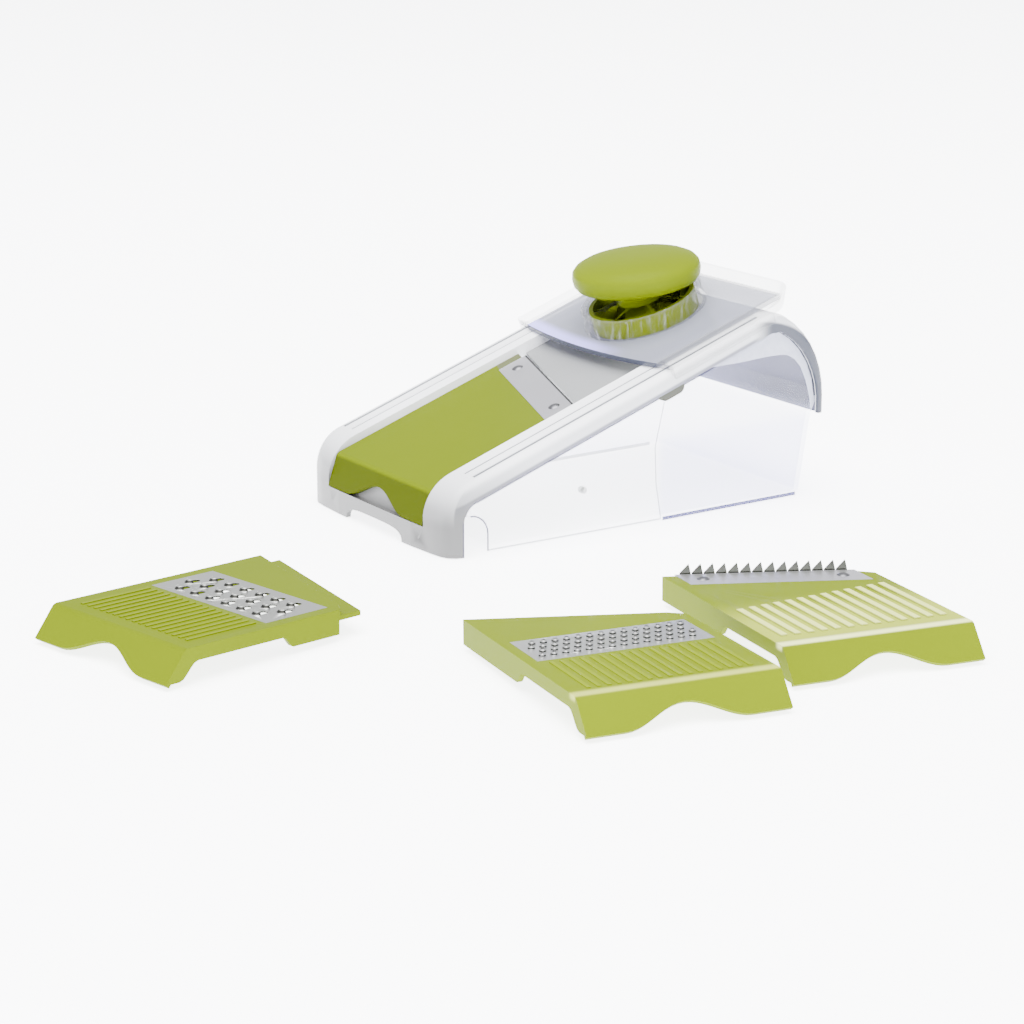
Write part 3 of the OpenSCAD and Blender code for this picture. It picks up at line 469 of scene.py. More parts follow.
def rail_shade(white, colour, across, along, below):
    """Painted shade on the skirt's side and hem, and in the rails' grooves. The wires say how
    far a point lies to the side, along the rails and below their tops."""
    side = white.ramp(across, *SKIRT_SIDE)
    colour = white.mix(side * white.ramp(below, *SKIRT_TOP), colour, RAIL_SIDE_SHADE)
    hem = side * white.ramp(below, *SKIRT_FOOT) * white.fade(along, *HEM_END)
    colour = white.mix(hem, colour, SKIRT_HEM_SHADE)
    rail = white.band(across, RAIL_INNER, RAIL_OUTER) * white.band(along, RAIL_START, RAIL_END)
    return white.mix(white.band(below, GROOVE_TOP, GROOVE_FLOOR) * rail, colour, GROOVE_SHADE)


print("grooves run from", RAIL_START[0], "to", RAIL_END[1], "mm along the rails")

# %% [markdown]
# The nose turns down to the table with a finger arch in it. It faces away from the light, so
# painted shade greys it towards its foot. Each side of it ends in a thin upright edge beside the
# tub, which shows as a narrow dark line of shadow. A rounding there would be too small to see, and
# a painted shadow line of its own is seen.

# %% Shade on the nose
# Painted shade on the nose, and a painted shadow line at its lip.
NOSE_SHADE = (0.098, 0.098, 0.099)
LIP_SHADOW_LINE = (0.050, 0.050, 0.080)
NOSE_TOP, NOSE_REAR = (12.0, 42.0), (22.0, 62.0)
LIP_FRONT, LIP_REAR = (5.9, 6.1), (6.65, 6.7)
LIP_TOP, LIP_SIDE = (14.0, 16.5), (55.0, 56.0)


def nose_shade(white, colour, across, along, up, from_front):
    """Painted shade that greys the nose, and a painted shadow line at its lip."""
    nose = white.fade(up, *NOSE_TOP) * white.fade(along, *NOSE_REAR)
    colour = white.mix(nose, colour, NOSE_SHADE)
    lip = white.band(from_front, LIP_FRONT, LIP_REAR) * white.fade(up, *LIP_TOP)
    return white.mix(lip * white.ramp(across, *LIP_SIDE), colour, LIP_SHADOW_LINE)


print("the nose is grey up to", NOSE_TOP[1], "mm")

# %% [markdown]
# The hood closes the rear of the frame. Its inside is open to the tub and in shade, so it gets
# painted shade, darker on the near side than on the far side, and its thick brim gets a dark band
# of painted shade along its rounded edge. The inside can't be told from the outside by height,
# because the hood is bent. The distance from the centre of its back arc tells them apart: inside is
# nearer to the centre than the wall is.

# %% Shade under the hood
# Painted shade: inside the hood, darkest on the near side, and along the brim.
HOOD_INSIDE_SHADE = (0.058, 0.059, 0.110)
HOOD_FAR_SIDE_SHADE = (0.230, 0.230, 0.400)
HOOD_BRIM_SHADE = (0.038, 0.042, 0.060)
INNER_WALL, INSIDE_START, INSIDE_SIDE = (43.3, 43.8), (21.0, 22.5), (57.7, 57.9)
INSIDE_NEAR_TO_FAR = (-30.0, 50.0)
BRIM_SIDE, BRIM_START, BRIM_EDGE = (57.9, 58.4), (2.0, 14.0), (-0.8, 0.8)
BRIM_DEPTH = 6.2
BRIM_THINS_FROM = 8.0
BRIM_THINS_BY = 0.207


def hood_shade(white, colour, across, up, from_front):
    """Painted shade inside the hood and on the brim, whose band thins towards the rear."""
    to_x = from_front - BACK_CENTRE[0]
    to_z = white.at_least(up - BACK_CENTRE[1], 0.0)
    from_centre = (to_x ** 2.0 + to_z ** 2.0) ** 0.5
    inside = white.fade(from_centre, *INNER_WALL) * white.ramp(to_x, *INSIDE_START)
    inside = inside * white.fade(across, *INSIDE_SIDE)
    far = white.ramp(white.along(SIDEWAYS), *INSIDE_NEAR_TO_FAR)
    colour = white.mix(inside, colour, white.mix(far, HOOD_INSIDE_SHADE, HOOD_FAR_SIDE_SHADE))
    below_brim = BACK_R - from_centre - BRIM_DEPTH + (to_x - BRIM_THINS_FROM) * BRIM_THINS_BY
    brim = white.ramp(across, *BRIM_SIDE) * white.ramp(to_x, *BRIM_START)
    return white.mix(brim * white.ramp(below_brim, *BRIM_EDGE), colour, HOOD_BRIM_SHADE)


print("the brim is", BRIM_DEPTH, "mm deep where it starts to thin")

# %% [markdown]
# Now the white finish itself. Under the shades lies the same kind of moulded plastic as the lime,
# with a drift to a cooler white and a fine grain. It is glossier than the lime, because a clean
# white moulding is read by its soft highlights.

# %% White moulded plastic
WHITE = (0.86, 0.865, 0.89)
WHITE_COOL = (0.82, 0.83, 0.87)


def white_finish():
    white = Finish("white_plastic", IOR=1.5, Specular_IOR_Level=0.3)
    grain = white.noise(1500.0, 2.0)
    across = white.size_of(white.along(SIDEWAYS))
    along = white.along(ALONG_RAILS, RAILS_BEGIN)
    below = 0 - white.along(UP_FROM_RAILS, RAIL_TOPS)
    up = white.along(UPWARD)
    from_front = white.along(FORWARD, -FRONT_FOOT)
    colour = white.mix(white.noise(14.0), WHITE, WHITE_COOL)
    colour = rail_shade(white, colour, across, along, below)
    colour = nose_shade(white, colour, across, along, up, from_front)
    white.feed("Base Color", hood_shade(white, colour, across, up, from_front))
    white.feed("Roughness", 0.26 + grain * 0.1)
    white.bump(grain, 0.000015)
    return white.material


finishes["white"] = white_finish()
print("white plastic has", len(finishes["white"].node_tree.nodes), "nodes")

# %% [markdown]
# Two pieces of the frame are grey. The runway behind the blade is textured, so that wet food slides
# over it and doesn't stick, and the catches under the rails are a darker, plainer moulding. They
# differ only in tone and in the size of their grain, so one short function makes both.

# %% Grey runway and catches
def grey_finish(name, tone, worn, grain_size, detail, rough, swing, depth):
    """Grey plastic: two tones that mix with the grain, and how rough and how deep the grain is."""
    grey = Finish(name, IOR=1.48, Specular_IOR_Level=0.2)
    grain = grey.noise(grain_size, detail)
    grey.feed("Base Color", grey.mix(grain, tone, worn))
    grey.feed("Roughness", rough + grain * swing)
    grey.bump(grain, depth)
    return grey.material


finishes["runway"] = grey_finish(
    "runway_plastic", tone=(0.205, 0.210, 0.216), worn=(0.225, 0.230, 0.236), grain_size=900.0,
    detail=4.0, rough=0.42, swing=0.2, depth=0.00006)
finishes["catch"] = grey_finish(
    "catch_plastic", tone=(0.048, 0.050, 0.040), worn=(0.062, 0.065, 0.052), grain_size=1200.0,
    detail=3.0, rough=0.40, swing=0.15, depth=0.00002)
print("grey finishes", [finishes[name].name for name in ("runway", "catch")])

# %% [markdown]
# The catch tub is clear polystyrene. Real refraction through thin walls is slow to render and gains
# little, so the tub uses Alpha: it is nearly see-through face on, and denser where the wall is seen
# at a slant, which is what makes the edges of a clear box stand out. Its rear half has a bluer
# tint, and a small moulded boss shows as a dot on each side. A faint glow, painted light, brightens
# the walls and stands for the light that clear plastic carries inside itself.

# %% Clear tub
CLEAR_BODY = (0.50, 0.52, 0.60)
CLEAR_EDGE = (0.30, 0.32, 0.56)
CLEAR_REAR = (0.26, 0.28, 0.84)
# Painted light: the tub's walls glow, though they are no lamp.
CLEAR_PAINTED_GLOW = (0.92, 0.94, 1.0)
NO_GLOW = (0.0, 0.0, 0.0)
BOSS = (0.10, 0.11, 0.10)
BOSS_PLACE, BOSS_R = (70.0, 20.0), 1.6
TUB_FLOOR, TUB_HIGH, TUB_REAR = (1.9, 2.3), (34.0, 44.0), (109.0, 114.0)


def tub_finish():
    tub = Finish("tub_plastic", IOR=1.5, Specular_IOR_Level=0.4, Emission_Strength=3.0)
    slant = tub.node("ShaderNodeLayerWeight", {}, {"Blend": 0.3}, output="Facing")
    haze = tub.noise(60.0)
    up = tub.along(UPWARD)
    from_front = tub.along(FORWARD, -FRONT_FOOT)
    floor = tub.fade(up, *TUB_FLOOR)
    high = tub.ramp(up, *TUB_HIGH)
    rear = tub.ramp(from_front, *TUB_REAR) * (1 - high) * (1 - floor)
    from_boss = ((from_front - BOSS_PLACE[0]) ** 2.0 + (up - BOSS_PLACE[1]) ** 2.0) ** 0.5
    boss = tub.node("ShaderNodeMath", {"operation": "LESS_THAN"}, {0: from_boss, 1: BOSS_R})
    colour = tub.mix(slant ** 2.0, tub.mix(rear, CLEAR_BODY, CLEAR_REAR), CLEAR_EDGE)
    tub.feed("Base Color", tub.mix(boss, colour, BOSS))
    dull = tub.at_least(tub.at_least(high, rear), boss)
    tub.feed("Emission Color", tub.mix(dull, CLEAR_PAINTED_GLOW, NO_GLOW))
    tub.feed("Alpha", 0.03 + slant ** 3.0 * (0.75 - 0.6 * floor) + rear * 0.10 + boss * 0.6)
    tub.feed("Roughness", 0.06 + haze * 0.04)
    tub.bump(haze, 0.00004)
    return tub.material


finishes["tub"] = tub_finish()
print("tub has", len(finishes["tub"].node_tree.nodes), "nodes")

# %% [markdown]
# The sliding guard is one clear moulding with a flat plate, raised sides, a rear lip and a round
# cup. Its front edge is cut in a shallow bow. The parts could be split into objects of their own,
# but then their walls would end in open seams. It stays whole, and masks tell its parts apart: the
# height over the rails, the way to the side and the way behind the bowed edge.

# %% Parts of the guard
GUARD_TIPS, GUARD_BOW, GUARD_HALF = 121.6, 6.0, 63.1
PLATE_TOP, PLATE_SIDE = (2.6, 2.9), (51.0, 52.5)
FRONT_TINT, FRONT_NEAR_TO_FAR = (3.0, 9.0), (-30.0, 5.0)
EDGE_DEPTH, EDGE_SIDE = (0.25, 0.6), (59.0, 60.0)
REAR_LIP = (52.0, 56.0)
STREAK_SCALE, STREAK_STEP = (420, 420, 50), (0.48, 0.75)
CUP_SIDE, CUP_FOOT = (33.0, 34.0), (2.6, 3.2)


def guard_parts(guard):
    """Masks of the guard's plate, tinted front, cut edge, rear lip and cup's painted reflections.
    """
    left = guard.along(SIDEWAYS)
    across = guard.size_of(left)
    height = guard.along(UP_FROM_RAILS, RAIL_TOPS)
    bow = (across * (1 / GUARD_HALF)) ** 2.0 * GUARD_BOW
    behind = guard.along(ALONG_RAILS, RAILS_BEGIN + GUARD_TIPS - GUARD_BOW) - bow
    low = guard.fade(height, *PLATE_TOP)
    plate = low * guard.fade(across, *PLATE_SIDE)
    front = guard.fade(behind, *FRONT_TINT) * guard.ramp(left, *FRONT_NEAR_TO_FAR) * plate
    edge = guard.fade(behind, *EDGE_DEPTH) * low * guard.fade(across, *EDGE_SIDE)
    lip = guard.ramp(behind, *REAR_LIP) * guard.ramp(height, *PLATE_TOP)
    streak = guard.ramp(guard.noise(1.0, 2.0, guard.stretched(STREAK_SCALE)), *STREAK_STEP)
    streak = streak * guard.fade(across, *CUP_SIDE) * guard.ramp(height, *CUP_FOOT) * (1 - lip)
    return plate, front, edge, lip, streak


print("the guard's edge bows by", GUARD_BOW, "mm")

# %% [markdown]
# Now the guard's look. The plate is thick enough to show its own grey-lavender colour, and most at
# its front edge. The cup and the raised sides are thin and polished, and they look almost
# colourless, with a painted highlight where the wall is seen at a slant and fine upright streaks of
# painted reflection. As on the tub, Alpha and the slant of the wall do the work of real refraction.

# %% Clear guard
GUARD_BODY = (0.235, 0.245, 0.305)
GUARD_FRONT = (0.420, 0.400, 0.960)
GUARD_EDGE = (0.030, 0.034, 0.060)
CUP_BODY = (0.06, 0.06, 0.065)
# Tones of the painted highlight on the cup and on the rear lip.
CUP_HIGHLIGHT = (0.80, 0.81, 0.84)
LIP_EDGE = (0.180, 0.185, 0.180)


def guard_finish():
    guard = Finish("guard_plastic", IOR=1.5, Specular_IOR_Level=0.4)
    slant = guard.node("ShaderNodeLayerWeight", {}, {"Blend": 0.3}, output="Facing")
    haze = guard.noise(60.0)
    plate, front, edge, lip, streak = guard_parts(guard)
    # Painted highlight: slanted walls and the streaks of painted reflection turn pale.
    glint = guard.at_least(slant ** 1.5, streak * 0.7)
    clear = guard.mix(glint, CUP_BODY, guard.mix(lip, CUP_HIGHLIGHT, LIP_EDGE))
    tinted = guard.mix(front, guard.mix(plate, clear, GUARD_BODY), GUARD_FRONT)
    guard.feed("Base Color", guard.mix(edge, tinted, GUARD_EDGE))
    guard.feed("Alpha", 0.04 + slant ** 1.5 * 0.6 + streak * 0.18 + plate * 0.5 + front * 0.25
               + edge * 0.35)
    guard.feed("Roughness", 0.05 + haze * 0.04)
    guard.bump(haze, 0.00004)
    return guard.material


finishes["guard"] = guard_finish()
print("guard has", len(finishes["guard"].node_tree.nodes), "nodes")

# %% [markdown]
# Blades are ground flat, so their scratches run one way, and the working blade ends in a ground
# bevel that gets a dark line of painted shadow. The grater plates are rolled sheet with a softer
# pattern; their holes get painted shade, and so do their teeth up to the bright crowns. Scratches
# could be an image, but a noise stretched along the grind has no end and no seams. It feeds the
# roughness and a shallow bump.

# %% Ground and rolled steel
# Painted shade: on the teeth, in the holes and along the blade's bevel.
TOOTH_SHADE = (0.035, 0.035, 0.032)
HOLE_SHADE = (0.012, 0.012, 0.010)
BEVEL_SHADE = (0.035, 0.034, 0.036)
CLOUD_SHARE = 0.86
HOLE_DEPTH, BEVEL_WIDTH = (-0.12, -0.05), (-1.0, -0.7)
TOOTH_SHADE_FOOT, CROWN_SOFTNESS = (0.03, 0.1), 0.1


def steel_finish(name, tone, stretch, turn, plane=None, crown=None, edge=None):
    """Steel with a lay. A plane is the top of a punched sheet: below it lie the holes, in painted
    shade, and the teeth above it get painted shade up to the height of their crowns. An edge is a
    ground bevel, with a painted shadow line along it."""
    steel = Finish(name, Metallic=1.0)
    lines = steel.noise(1.0, 4.0, steel.stretched(stretch, turn))
    colour = steel.mix(steel.noise(40.0), tone, tuple(CLOUD_SHARE * part for part in tone))
    if plane:
        height = steel.along(plane[0], plane[1] / MM)
        stain = steel.band(height, TOOTH_SHADE_FOOT, (crown - CROWN_SOFTNESS, crown))
        colour = steel.mix(stain, colour, TOOTH_SHADE)
        colour = steel.mix(steel.fade(height, *HOLE_DEPTH), colour, HOLE_SHADE)
    if edge:
        bevel = steel.ramp(steel.along(edge[0], edge[1] / MM), *BEVEL_WIDTH)
        colour = steel.mix(bevel, colour, BEVEL_SHADE)
    steel.feed("Base Color", colour)
    steel.feed("Roughness", 0.22 + lines * 0.22)
    steel.bump(lines, 0.00003)
    return steel.material


print("the blade's bevel is", -BEVEL_WIDTH[0], "mm wide")

# %% [markdown]
# Each kind of steel gets its own lay. The blades' scratches run along them, turned a little from
# the slicer's length. Rolled plates have a shorter grain, turned as each spare lies. A formed rivet
# has no lay at all, so its noise isn't stretched, and it and the comb are darker than the rest. On
# the comb the dark tone is a painted dark reflection.

# %% Blades, plates, comb and rivets
BLADE_TONE = (0.62, 0.61, 0.65)
GRIND, GRIND_TURN = (200, 4000, 4000), (0, 0, 0.3)
ROLLED = (600, 3000, 3000)
FORMED = (900, 900, 900)
finishes["blade"] = steel_finish("ground_steel", BLADE_TONE, GRIND, GRIND_TURN)
finishes["slicing_steel"] = steel_finish("slicing_steel", BLADE_TONE, GRIND, GRIND_TURN,
                                         edge=(ACROSS_BLADE, BLADE_EDGE))
finishes["rivet"] = steel_finish("rivet_steel", (0.13, 0.13, 0.14), FORMED, (0, 0, 0))
finishes["coarse_steel"] = steel_finish("coarse_steel", (0.40, 0.405, 0.39), ROLLED, (0, 0, 0.2),
                                        plane=top_plane("coarse_plate"), crown=1.15)
finishes["fine_steel"] = steel_finish("fine_steel", (0.46, 0.465, 0.46), ROLLED, (0, 0, 1.4),
                                      plane=top_plane("fine_plate"), crown=0.6)
# The comb's dark tone is a painted reflection.
finishes["comb"] = steel_finish("comb_steel", (0.10, 0.105, 0.09), ROLLED, (0, 0, 1.2))
print("all finishes", sorted(finishes))

# %% [markdown]
# A solid's mesh has a corner of its own for every face that meets there, and flat walls are cut
# into many faces. Rounding such a mesh would tear it. So a piece starts as a copy of the solid with
# its corners joined and its flat faces made whole. The solid itself is never changed.

# %% Copy a solid's mesh
FLAT_ANGLE = math.radians(0.4)
SAME_POINT = 2e-6


def joined_copy(node):
    """A copy of a solid's mesh with its loose corners joined and its flat faces whole."""
    mesh = frame["nodes"][node].data.copy()
    shape = bmesh.new()
    shape.from_mesh(mesh)
    bmesh.ops.remove_doubles(shape, verts=shape.verts, dist=SAME_POINT)
    bmesh.ops.dissolve_limit(shape, angle_limit=FLAT_ANGLE, verts=shape.verts,
                             edges=shape.edges)
    shape.to_mesh(mesh)
    shape.free()
    return mesh


print("corners nearer than", SAME_POINT / MM, "mm are joined")

# %% [markdown]
# A solid from CAD has knife edges, and real mouldings don't: an edge rounded by as little as a
# quarter of a millimetre still catches a bright line. The edges could be rounded in the part's
# source, but there they would cost many faces. Here a Bevel modifier rounds the copy, and its
# curves are shaded smooth. The copy then replaces the solid and rides on the same body.

# %% Dress a solid
SMOOTH_ANGLE = math.radians(34)


def body_of(node):
    return next(body for body, nodes in frame["record"]["behaviour"]["bodies"].items()
                if node in nodes)


def round_edges(piece, width):
    rounding = piece.modifiers.new("moulded_edges", "BEVEL")
    rounding.width = width * MM
    rounding.segments = 2
    rounding.limit_method = "ANGLE"
    rounding.angle_limit = SMOOTH_ANGLE
    rounding.harden_normals = True


def dress(node, finish, edge):
    """The piece that stands for a solid: its finish, and its rounding in millimetres."""
    mesh = joined_copy(node)
    mesh.materials.clear()
    mesh.materials.append(finishes[finish])
    piece = put_in_scene("dressed_" + node, mesh)
    for face in mesh.polygons:
        face.use_smooth = True
    mesh.set_sharp_from_angle(angle=SMOOTH_ANGLE)
    if edge:
        round_edges(piece, edge)
    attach(piece, body_of(node))
    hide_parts(node)
    return piece


print("edges sharper than", round(math.degrees(SMOOTH_ANGLE)), "degrees are rounded")

# %% [markdown]
# Every solid is now dressed, from the tub to the last rivet. The list could be worked out from the
# names, but a plain list is easier to change: it says which finish a piece wears and how much its
# edges are rounded, in millimetres. The thick knob has the softest edges. Steel has none, because
# ground and punched edges are sharp.

# %% Dress the slicer and the spares
WARDROBE = [
    ("container_tub", "tub", 0.3),
    ("frame_shell", "white", 0.25),
    ("side_catches", "catch", 0.0),
    ("runway_plate", "runway", 0.15),
    ("slicing_carrier", "slicing_lime", 0.3),
    ("slicing_blade", "slicing_steel", 0.0),
    ("slicing_rivets", "rivet", 0.0),
    ("guard_plate", "guard", 0.3),
    ("pusher_knob", "knob_lime", 0.4),
    ("pusher_disc", "disc_lime", 0.25),
    ("pusher_pins", "blade", 0.0),
    ("pusher_screw", "blade", 0.0),
    ("coarse_carrier", "coarse_lime", 0.2),
    ("coarse_plate", "coarse_steel", 0.0),
    ("fine_carrier", "fine_lime", 0.2),
    ("fine_plate", "fine_steel", 0.0),
    ("julienne_carrier", "julienne_lime", 0.2),
    ("julienne_comb", "comb", 0.0),
    ("julienne_blade", "blade", 0.0),
    ("julienne_rivets", "rivet", 0.0),
]
for node, finish, edge in WARDROBE:
    piece = dress(node, finish, edge)
    print(piece.name, len(piece.data.polygons), "faces")

# %% [markdown]
# The clear tub needs trim that is too thin for the solids: a frosted rim, a shaded gap and the
# bright lines of its cut edges. Each is a flat ribbon a fraction of a millimetre thick on the
# outside of a side wall. A ribbon could be a curve with a bevel, but a curve's section turns as it
# bends. Two lines with as many points each, joined by faces, stay flat on the wall.

# %% A flat ribbon on the tub's wall
WALL_Y = 57.0
OFF_WALL = 0.01


def ribbon(name, upper, lower, side, finish, thick):
    """Flat strip on the tub's wall between two side-view lines with as many points each."""
    rows = [[(x - FRONT_FOOT, side * y, z) for x, z in line]
            for line in (upper, lower) for y in (WALL_Y + OFF_WALL, WALL_Y + thick)]
    count = len(upper)
    points = [Vector(point) * MM for row in rows for point in row]
    faces = []
    for i in range(count - 1):
        for one, two in ((0, 1), (1, 3), (3, 2), (2, 0)):
            faces.append((one * count + i, one * count + i + 1,
                          two * count + i + 1, two * count + i))
    for i in (0, count - 1):
        faces.append((i, count + i, 3 * count + i, 2 * count + i))
    mesh = bpy.data.meshes.new(name)
    mesh.from_pydata(points, [], faces)
    strip = bmesh.new()
    strip.from_mesh(mesh)
    bmesh.ops.recalc_face_normals(strip, faces=strip.faces)
    strip.to_mesh(mesh)
    strip.free()
    mesh.materials.append(finish)
    made = put_in_scene(name, mesh)
    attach(made, body_of("container_tub"))
    return made


print("ribbons stand", OFF_WALL, "mm off the wall")

# %% [markdown]
# The trim is part of the clear tub, so it has to let some of the wall behind show. A frosted rim is
# half dense and pale, and a shaded gap is denser and dark. One function makes each kind, with a
# fine grain that keeps it from looking printed on.

# %% Half-clear trim
def strip_finish(name, tone, alpha, rough=0.5):
    """Trim of one tone: how dense it is, from 0 to 1, and how rough."""
    strip = Finish(name, IOR=1.4, Specular_IOR_Level=0.1)
    grain = strip.noise(300.0)
    strip.feed("Base Color", strip.mix(grain, tone, tuple(1.15 * part for part in tone)))
    strip.feed("Roughness", rough + grain * 0.2)
    strip.feed("Alpha", alpha + grain * 0.1)
    return strip.material


rim_material = strip_finish("frosted_rim", (0.50, 0.52, 0.62), 0.50, 0.4)
gap_material = strip_finish("shaded_gap", (0.032, 0.034, 0.052), 0.62, 0.8)
print("trim finishes", rim_material.name, gap_material.name)

# %% [markdown]
# Under the hood the tub's side walls carry a moulded rim: a thin raised band, frosted, that starts
# level at the front and turns down along the hood's back. Beside it runs the narrow gap between the
# tub and the frame's skirt, painted dark as shadow. They could be drawn by hand, but then they
# would drift off the hood. Both follow the hood's own arcs, and only the rim's foot, which has no
# arc of its own, is drawn.

# %% Rim of the tub under the hood
SKIRT_AT_RAILS = 8.6
SKIRT_THINS_BY, SKIRT_THINS_FROM, SKIRT_THINS_OVER = 5.0, -10, 80
RIM_HEADINGS = [SLOPE_DEG, 10, 0, -10, -20, -30, -42, -54, -66, -78, -90]
RIM_FOOT = [(137.5, 66.6), (152, 66.9), (160, 67.3), (167, 67.7), (173, 67.9), (178, 67.9),
            (182, 67.2), (186, 65.0), (189.6, 61.0), (192.8, 54.5), (195.2, 47.0), (196.4, 39.2)]
RIM_TIP = Vector((138.0, 67.2))
RIM_OVER_SKIRT, GAP_OVER_SKIRT = 1.6, 0.6
GAP_START, GAP_GROWS_BY = 0.5, 0.9


def hood_station(heading):
    """Point of the hood's outside, seen from the side, where it runs at this heading."""
    if heading > -HOOD_TURN:
        return TIGHT_CENTRE + HOOD_R * outward(heading)
    return BACK_CENTRE + BACK_R * outward(heading)


def skirt_depth(heading):
    share = max(0.0, (SKIRT_THINS_FROM - heading) / SKIRT_THINS_OVER)
    return SKIRT_AT_RAILS - SKIRT_THINS_BY * share


def hood_curve(extra, headings):
    """A line that follows the hood's skirt, further in by an extra depth."""
    return [hood_station(h) - (skirt_depth(h) + extra) * outward(h) for h in headings]


def gap_lines():
    """Both edges of the dark gap, which widens towards the hood's foot."""
    headings = RIM_HEADINGS[2:]
    inner = hood_curve(-GAP_OVER_SKIRT, headings)
    outer = [point - (GAP_START + GAP_GROWS_BY * i / len(inner)) * outward(headings[i])
             for i, point in enumerate(inner)]
    return inner, outer


for side in (-1, 1):
    top = [RIM_TIP] + hood_curve(-RIM_OVER_SKIRT, RIM_HEADINGS)
    ribbon("tub_rim", top, RIM_FOOT, side, rim_material, 0.25)
    # The gap's strip is painted shadow.
    ribbon("skirt_gap", *gap_lines(), side, gap_material, 0.35)
print("rim strips", len(RIM_HEADINGS), "stations")

# %% [markdown]
# A clear box is read by its edges. Where a moulding ends, light that was caught inside the wall
# comes out, so the cut edges look like fine drawn lines. The tub has five on each side: its flared
# front edge; the front and the rear length of its foot along the table; the witness line where the
# two halves of the mould met; and the line under the skirt, which is painted shadow of the skirt.
# They could be found on the mesh as its sharp edges, but then every small step would get a line
# too. Those that follow an arc are worked out, and the three short ones are drawn.

# %% Where the tub's edges run
FLARE_R, FLARE_Z, TUB_FRONT, TUB_BACK = 8.5, 8.0, 20.0, 187.0
FLARE_STEPS = 6
NOSE_R = 18.0
SKIRT_SHRINKS_BY = 2.0
BELOW_SKIRT = 1.3
NOSE_HEADINGS = (80, 70, 60, 50, 40, 30, SLOPE_DEG)


def beside(line, width):
    """The same line again, set to its right by a width."""
    made = []
    for i, point in enumerate(line):
        run = line[min(i + 1, len(line) - 1)] - line[max(i - 1, 0)]
        made.append(point + width * Vector((run.y, -run.x)).normalized())
    return made


def skirt_line():
    """Below the skirt's lower edge, from the flare's tip to the hood."""
    nose_centre = Vector((NOSE_R, RAIL_Z + NOSE_R * math.tan(SLOPE) - NOSE_R / math.cos(SLOPE)))
    line = []
    for heading in NOSE_HEADINGS:
        share = (heading - SLOPE_DEG) / (90 - SLOPE_DEG)
        depth = SKIRT_AT_RAILS - SKIRT_SHRINKS_BY * share
        line.append(nose_centre + (NOSE_R - depth - BELOW_SKIRT) * outward(heading))
    return line + [hood_curve(BELOW_SKIRT, [SLOPE_DEG])[0]]


def flare_line():
    """Up from the table at the tub's front, then back in the quarter turn of its flare."""
    centre = Vector((TUB_FRONT - FLARE_R, FLARE_Z))
    turns = [math.radians(90 * i / FLARE_STEPS) for i in range(FLARE_STEPS + 1)]
    return [Vector((TUB_FRONT, 0.3))] + [
        centre + FLARE_R * Vector((math.cos(turn), math.sin(turn))) for turn in turns]


def drawn(*points):
    return [Vector(point) for point in points]


foot_front = drawn((TUB_FRONT, 1.0), (60, 1.0), (112, 1.1))
foot_rear = drawn((113, 1.5), (150, 1.9), (TUB_BACK + 1.5, 2.2))
mould_line = drawn((113.3, 54.0), (108.6, 34.0), (109.4, 17.3), (112.2, 1.2))
print("skirt line", len(skirt_line()), "points, flare line", len(flare_line()), "points")

# %% [markdown]
# Then each line is laid as a ribbon with its own width and tone, and the rear foot is the boldest.
# The two sides could be the same, but seen through each other they would look like a wire cage. So
# one side, the one at +y, has all its lines in the palest tone.

# %% Edge lines of the tub
pale_line = strip_finish("pale_edge", (0.210, 0.230, 0.270), 0.34)
blue_line = strip_finish("lavender_edge", (0.050, 0.048, 0.170), 0.70)
grey_line = strip_finish("skirt_shadow", (0.055, 0.055, 0.110), 0.62)
EDGES = [("flare_edge", flare_line(), 0.7, grey_line),
         ("foot_edge", foot_front, 0.7, pale_line),
         ("rear_foot_edge", foot_rear, 1.6, blue_line),
         ("mould_line", mould_line, 0.5, pale_line),
         # Painted shadow of the skirt on the tub.
         ("skirt_line", skirt_line(), 1.0, grey_line)]
for side in (-1, 1):
    for name, line, width, finish in EDGES:
        ribbon(name, line, beside(line, width), side, finish if side < 0 else pale_line, 0.15)
print("edge lines", [name for name, *_ in EDGES])

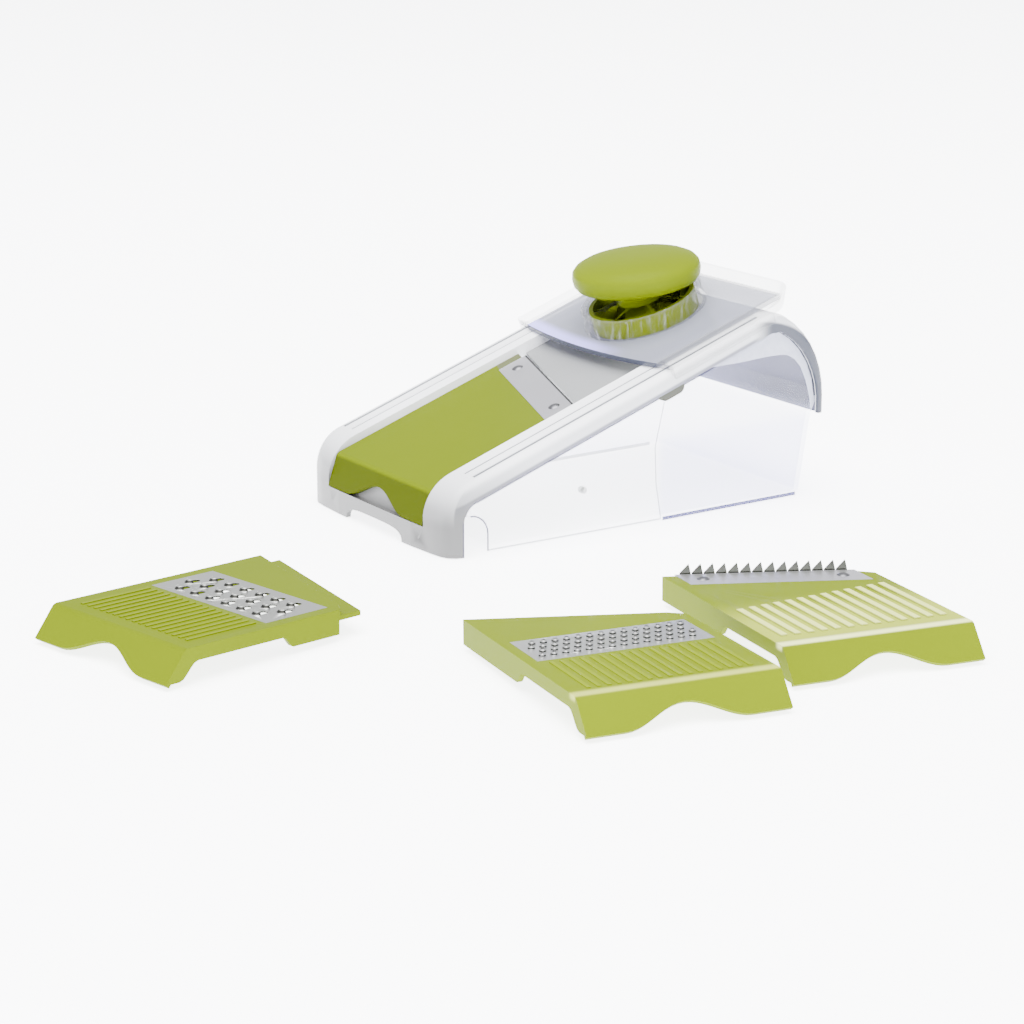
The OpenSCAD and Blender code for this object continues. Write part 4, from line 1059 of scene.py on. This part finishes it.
# %% [markdown]
# The table is a plain pale sheet, far larger than the view, so no horizon shows. It could be lit
# by lamps alone, but then it would fall off to grey at the sides. It glows like a light table, so
# that it stays pale far from the lamps and no shadow is hard.

# %% Pale table
TABLE_REACH = 6.0
TABLE_Z = -0.0004


def table():
    finish = Finish("pale_table", Emission_Color=(0.97, 0.98, 1.0, 1), Emission_Strength=5.0)
    tone = finish.mix(finish.noise(3.0), (0.93, 0.93, 0.94), (0.96, 0.96, 0.97))
    finish.feed("Base Color", tone)
    finish.feed("Roughness", 0.75 + finish.noise(80.0) * 0.1)
    corners = [(x * TABLE_REACH, y * TABLE_REACH, TABLE_Z)
               for x, y in ((-1, -1), (1, -1), (1, 1), (-1, 1))]
    mesh = bpy.data.meshes.new("table")
    mesh.from_pydata(corners, [], [(0, 1, 2, 3)])
    mesh.materials.append(finish.material)
    put_in_scene("table", mesh)


table()
print("table is", 2 * TABLE_REACH, "m wide")

# %% [markdown]
# A wide softbox overhead does most of the work, a small one in front models the near side, and a
# pale world fills the shadows. A light behind the slicer would be usual for clear plastic, but
# nothing bright stands there, because its reflection would wash out the lime.

# %% Softboxes and world
def soft_lamp(name, place, size, power):
    """A round softbox that points at the slicer: place and size in metres, power in watts."""
    lamp = put_in_scene(name, bpy.data.lights.new(name, "AREA"))
    lamp.data.shape = "DISK"
    lamp.data.size = size
    lamp.data.energy = power
    lamp.location = place
    lamp.rotation_euler = (-Vector(place)).to_track_quat("-Z", "Y").to_euler()
    print(name, round(lamp.location.length, 2), "m away,", power, "W")


def pale_world(colour, strength):
    world = bpy.data.worlds.new("studio")
    world.use_nodes = True
    backdrop = world.node_tree.nodes["Background"]
    backdrop.inputs["Color"].default_value = colour
    backdrop.inputs["Strength"].default_value = strength
    bpy.context.scene.world = world


pale_world((0.97, 0.98, 1.0, 1), 1.6)
soft_lamp("overhead_softbox", (-0.6, -0.4, 3.0), 3.6, 480)
soft_lamp("front_softbox", (-0.5, -1.6, 0.7), 0.9, 14)

# %% [markdown]
